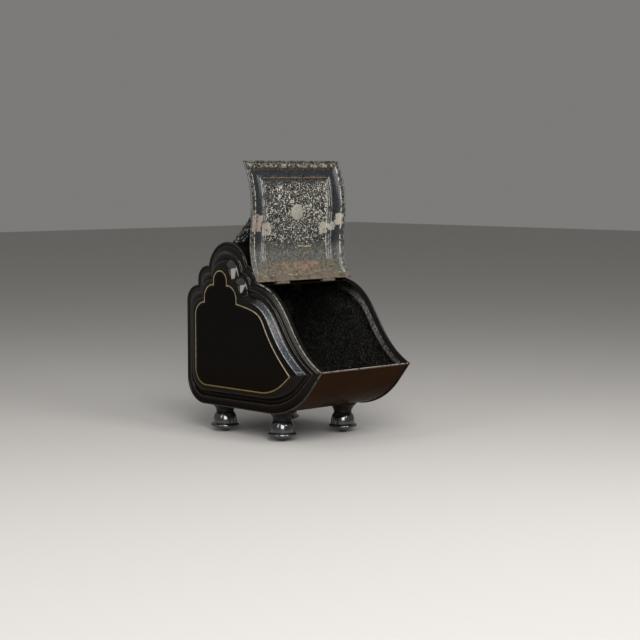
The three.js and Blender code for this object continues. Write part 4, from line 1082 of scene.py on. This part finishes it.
def lid_sheet():
    distances = [d for d, _ in BORDER]
    middle = [PANEL_INSET + (LID_HALF - PANEL_INSET) * k / PANEL_COLUMNS for k in range(1, PANEL_COLUMNS + 1)]
    columns = [d - LID_HALF for d in distances + middle]
    columns += [-x for x in reversed(columns[:-1])]
    free = [LID_END - d for d in reversed(distances)]
    rear = sorted([LID_REAR, 6, 8, 10, 12, 23, 28, 32] + [d for d, _ in REAR_BAND])
    rows = rear + [rear[-1] + (free[0] - rear[-1]) * k / PANEL_ROWS for k in range(1, PANEL_ROWS)] + free
    sides, across = [LID_HALF - abs(x) for x in columns], [x / LID_HALF for x in columns]

    def at(row):
        places = [placed(x, above_mouth(HINGE_SETBACK + row, LID_UNDER + lid_rise(x, row))) for x in columns]
        return places, dict(zip(LID_MARKS, (sides, LID_END - row, row, across)))

    bm = mesh_with(*LID_MARKS)
    places, marks = at(rows[0])
    edges = ring(bm, places, closed=False, **marks)
    for row in rows[1:]:
        places, marks = at(row)
        edges = drawn_out(bm, edges, places, **marks)
    # the cells on the mitres of the free corners are split along them
    bm.verts.index_update()
    bm.verts.ensure_lookup_table()
    wide, last = len(columns), len(rows) - 1
    for k in range(len(distances) - 1):
        for left in (True, False):
            pair = [(last - j) * wide + (j if left else wide - 1 - j) for j in (k, k + 1)]
            bmesh.ops.connect_verts(bm, verts=[bm.verts[i] for i in pair])
    righted(bm)
    # the rubbed side is the one that faces down when the lid is shut
    panel = min(bm.faces, key=lambda f: (f.calc_center_median() - Vector((0, -0.09, 0.24))).length)
    if panel.normal.z > 0:
        bmesh.ops.reverse_faces(bm, faces=bm.faces)
    piece = finished("pressed_lid", swung_open(bm), [lid_inside(), lid_outside()], "lid", "lid_sheet",
                     sharp=24)
    thickened(piece, LID_SHEET)


def lid_wire():
    offset = LID_WIRE_RADIUS + GAP
    x, end = LID_HALF + offset, LID_END + offset
    rows = [LID_REAR + (end - LID_REAR) * k / WIRE_STEPS for k in range(WIRE_STEPS + 1)]
    free_edge = [(x * k / 12, end) for k in range(-11, 12)]
    path = [(-x, r) for r in rows] + free_edge + [(x, r) for r in reversed(rows)]
    points = [(px, *above_mouth(HINGE_SETBACK + r, LID_UNDER + LID_SHEET / 2)) for px, r in path]
    finished("rolled_lid_edge", swung_open(wire(points, LID_WIRE_RADIUS)), [lid_edge()], "lid",
             "lid_edge_wire")


lid_sheet()
lid_wire()

# ---- Knob and backing plate -----------------------------------------------------------------------
# A cast knob outside the lid lifts it. Its shank goes through the panel into a plain round plate
# inside, which is bare, dull metal.

KNOB_PLACE, FLAT = 127, 16.5
panel_under = LID_UNDER + LID_PANEL_RISE
flat_start, flat_end = (above_mouth(HINGE_SETBACK + KNOB_PLACE + way * FLAT, panel_under) for way in (-1, 1))
KNOB = [
    (0, -1.1), (3, -1.1), (3, 1.3), (9.6, 1.3), (10, 2), (9.6, 3.2), (7.5, 4.2), (5.6, 5.6), (5, 8),
    (5.2, 11.5), (7, 14.5), (10, 16.8), (11.6, 18.6), (12, 20.4), (11.6, 22.4), (10.2, 24.6), (7.4, 27),
    (3.8, 28.1), (0, 28.3)]
PLATE = [(0, -1.9), (13.6, -1.9), (14.2, -1.7), (14.5, -1.3), (14.5, -0.3), (0, -0.3)]


def stood(bm, x, p, up):
    """Stands a piece made along Z on a place, in a direction of the (y, z) plane."""
    axis, across = Vector((0, up.x, up.y)), Vector((1, 0, 0))
    turn = Matrix((across, axis.cross(across), axis)).transposed()
    bmesh.ops.rotate(bm, cent=(0, 0, 0), matrix=turn, verts=bm.verts)
    return moved(bm, x, p)


def stood_on_panel(bm):
    """Stands a piece on the flat stretch of the shut lid's panel, then opens it with the lid."""
    up = spot(flat_end.y - flat_start.y, flat_start.x - flat_end.x).normalized()
    return swung_open(stood(bm, 0, flat_start.lerp(flat_end, 0.5), up))


def dull_steel():
    """Bare steel, stained here and there."""
    new_finish("dull_steel_plate", metallic=0.2)
    stains = ramp(noise(260, 6, 0.7), 0.45, 0.7)
    return dressed(tinted(stains, (0.3, 0.285, 0.243), (0.19, 0.175, 0.142)), 0.6, noise(500, 4), 0.1, 0.5)


finished("turned_knob", stood_on_panel(turned(KNOB)), [matt_iron], "lid", "lid_knob")
finished("round_backing_plate", stood_on_panel(turned(PLATE)), [dull_steel()], "lid", "knob_backing_plate")

# ---- Hinges ---------------------------------------------------------------------------------------
# Two loose-jointed strap hinges of rusty iron: a leaf riveted to the roof's flange, a leaf riveted
# inside the lid, three knuckles and a pin.

HINGE_SPREAD, HINGE_WIDTH, LEAF, KNUCKLE, END_KNUCKLE = 56, 29, 1, 2.2, 9
BODY_LEAF_LENGTH, LID_LEAF_LENGTH, PIN_RADIUS = 13, 15.5, 1.05
BODY_LEAF_LEVEL = HINGE_RISE - KNUCKLE
LID_LEAF_LEVEL = LID_UNDER - GAP - LEAF
RIVET_SPREAD, BODY_RIVET_SETBACK, LID_RIVET_SETBACK = 9, -8.6, 11
LEAF_STEPS = 6
# half a rivet's head: [radius, height above the stack]
HEAD = [(2.4, 0), (2.3, 0.4), (1.9, 0.75), (1.1, 0.95), (0, 1)]


def plate_over_mouth(start, stop, base, middle, width):
    """A leaf's plate that follows the mouth's curve between two distances from the pins."""
    places = [HINGE_SETBACK + start + (stop - start) * k / LEAF_STEPS for k in range(LEAF_STEPS + 1)]
    over, under = ([above_mouth(d, base + rise) for d in places] for rise in (LEAF, 0))
    return prism(over + under[::-1], middle - width / 2, middle + width / 2)


def barrel(x, width, radius):
    """A short round bar along the pins' line."""
    half = width / 2
    edge = min(0.3, radius / 4)
    bm = turned([(0, -half), (radius - edge, -half), (radius, edge - half), (radius, half - edge),
                 (radius - edge, half), (0, half)], 32)
    bmesh.ops.rotate(bm, cent=(0, 0, 0), matrix=Matrix.Rotation(math.pi / 2, 3, "Y"), verts=bm.verts)
    return moved(bm, x, PIN)


def leaf_plate(x, way, length, base, knuckles):
    """One leaf of a hinge, with the knuckles rolled at its edge: [place across the leaf, width]."""
    near = KNUCKLE + GAP
    whole = plate_over_mouth(way * near, way * length, base, x, HINGE_WIDTH)
    for at, width in knuckles:
        taken_in(whole, plate_over_mouth(0, way * (near + 0.5), base, x + at, width))
        taken_in(whole, barrel(x + at, width, KNUCKLE))
    return whole


def rivet(stack):
    """A rivet with a round head on each side of a stack, along Z."""
    low, high = -GAP, stack + GAP
    base = [(r, low - h) for r, h in reversed(HEAD)]
    return turned(base + [(1.2, low), (1.2, high)] + [(r, high + h) for r, h in HEAD], 24)


def stood_on_mouth(bm, x, distance, height):
    place, up = mouth_at(HINGE_SETBACK + distance)
    return stood(bm, x, place + up * height, up)


for side, sign in SIDES.items():
    x = sign * HINGE_SPREAD
    ends = [(way * (HINGE_WIDTH - END_KNUCKLE) / 2, END_KNUCKLE) for way in (-1, 1)]
    middle = [(0, HINGE_WIDTH - 2 * END_KNUCKLE - 2 * GAP)]
    roof_leaf = leaf_plate(x, -1, BODY_LEAF_LENGTH, BODY_LEAF_LEVEL, ends)
    lid_leaf = swung_open(leaf_plate(x, 1, LID_LEAF_LENGTH, LID_LEAF_LEVEL, middle))
    pin = barrel(x, HINGE_WIDTH, PIN_RADIUS)
    finished(f"roof_leaf_{side}", roof_leaf, [rust], "body", f"hinge_body_leaf_{side}")
    finished(f"lid_leaf_{side}", lid_leaf, [rust], "lid", f"hinge_lid_leaf_{side}")
    finished(f"plain_hinge_pin_{side}", pin, [rust], "body", f"hinge_pin_{side}")
    for which, way in (("inner", -sign), ("outer", sign)):
        at = x + way * RIVET_SPREAD
        below = stood_on_mouth(rivet(SHEET + BODY_LEAF_LEVEL + LEAF), at, BODY_RIVET_SETBACK, -SHEET)
        above = stood_on_mouth(rivet(LEAF + GAP + LID_SHEET), at, LID_RIVET_SETBACK, LID_LEAF_LEVEL)
        for body, shape in (("body", below), ("lid", swung_open(above))):
            node = f"{body}_rivet_{side}_{which}"
            finished(f"round_{node}", shape, [rust], body, node)

# ---- Floor, light and camera ----------------------------------------------------------------------
# A plain pale floor, a large soft lamp near the viewpoint, smaller ones in front, to the left and above,
# and the photograph's viewpoint.

FLOOR_HALF = 9
LAMP_AIM = Vector((0, 0, 0.24))
# [direction from the scuttle, distance, width, height, watts]
LAMPS = {
    "key_softbox": ((-0.544, -0.696, 0.469), 3.2, 1.6, 2.4, 95),
    "front_softbox": ((0.0, -0.77, 0.62), 1.7, 0.5, 1.0, 11),
    "left_softbox": ((-0.97, -0.08, 0.42), 1.8, 0.3, 0.8, 3.5),
    "top_softbox": ((-0.3, -0.1, 0.94), 1.5, 1.3, 1.3, 4),
}
CAMERA_PLACE = (-2.0174, -2.2027, 0.4770)
CAMERA_TILT, CAMERA_TURN, CAMERA_LENS = 84.837, -43.30, 92.72
# half a pixel of the photograph
CAMERA_SHIFT = 0.5 / 640


def in_scene(name, data):
    holder = bpy.data.objects.new(name, data)
    bpy.context.scene.collection.objects.link(holder)
    return holder


def studio():
    bm = bmesh.new()
    bmesh.ops.create_grid(bm, x_segments=1, y_segments=1, size=FLOOR_HALF)
    mesh = bpy.data.meshes.new("floor")
    bm.to_mesh(mesh)
    bm.free()
    new_finish("pale_floor")
    mesh.materials.append(dressed((0.56, 0.54, 0.515), 0.8))
    in_scene("floor", mesh)
    world = bpy.data.worlds.new("studio")
    bpy.context.scene.world = world
    world.use_nodes = True
    sky = world.node_tree.nodes["Background"].inputs
    feed(sky["Color"], (1, 0.985, 0.96))
    feed(sky["Strength"], 0.2)
    for name, (direction, distance, width, height, watts) in LAMPS.items():
        lamp = bpy.data.lights.new(name, "AREA")
        lamp.shape = "RECTANGLE"
        lamp.size, lamp.size_y, lamp.energy = width, height, watts
        away = Vector(direction).normalized()
        holder = in_scene(name, lamp)
        holder.location = LAMP_AIM + away * distance
        holder.rotation_euler = away.to_track_quat("Z", "Y").to_euler()
    camera = in_scene("camera", bpy.data.cameras.new("camera"))
    camera.location = CAMERA_PLACE
    camera.rotation_euler = (math.radians(CAMERA_TILT), 0, math.radians(CAMERA_TURN))
    camera.data.lens = CAMERA_LENS
    camera.data.sensor_width = 36
    camera.data.shift_y = CAMERA_SHIFT
    bpy.context.scene.camera = camera
    bpy.context.scene.view_settings.view_transform = "Standard"


studio()
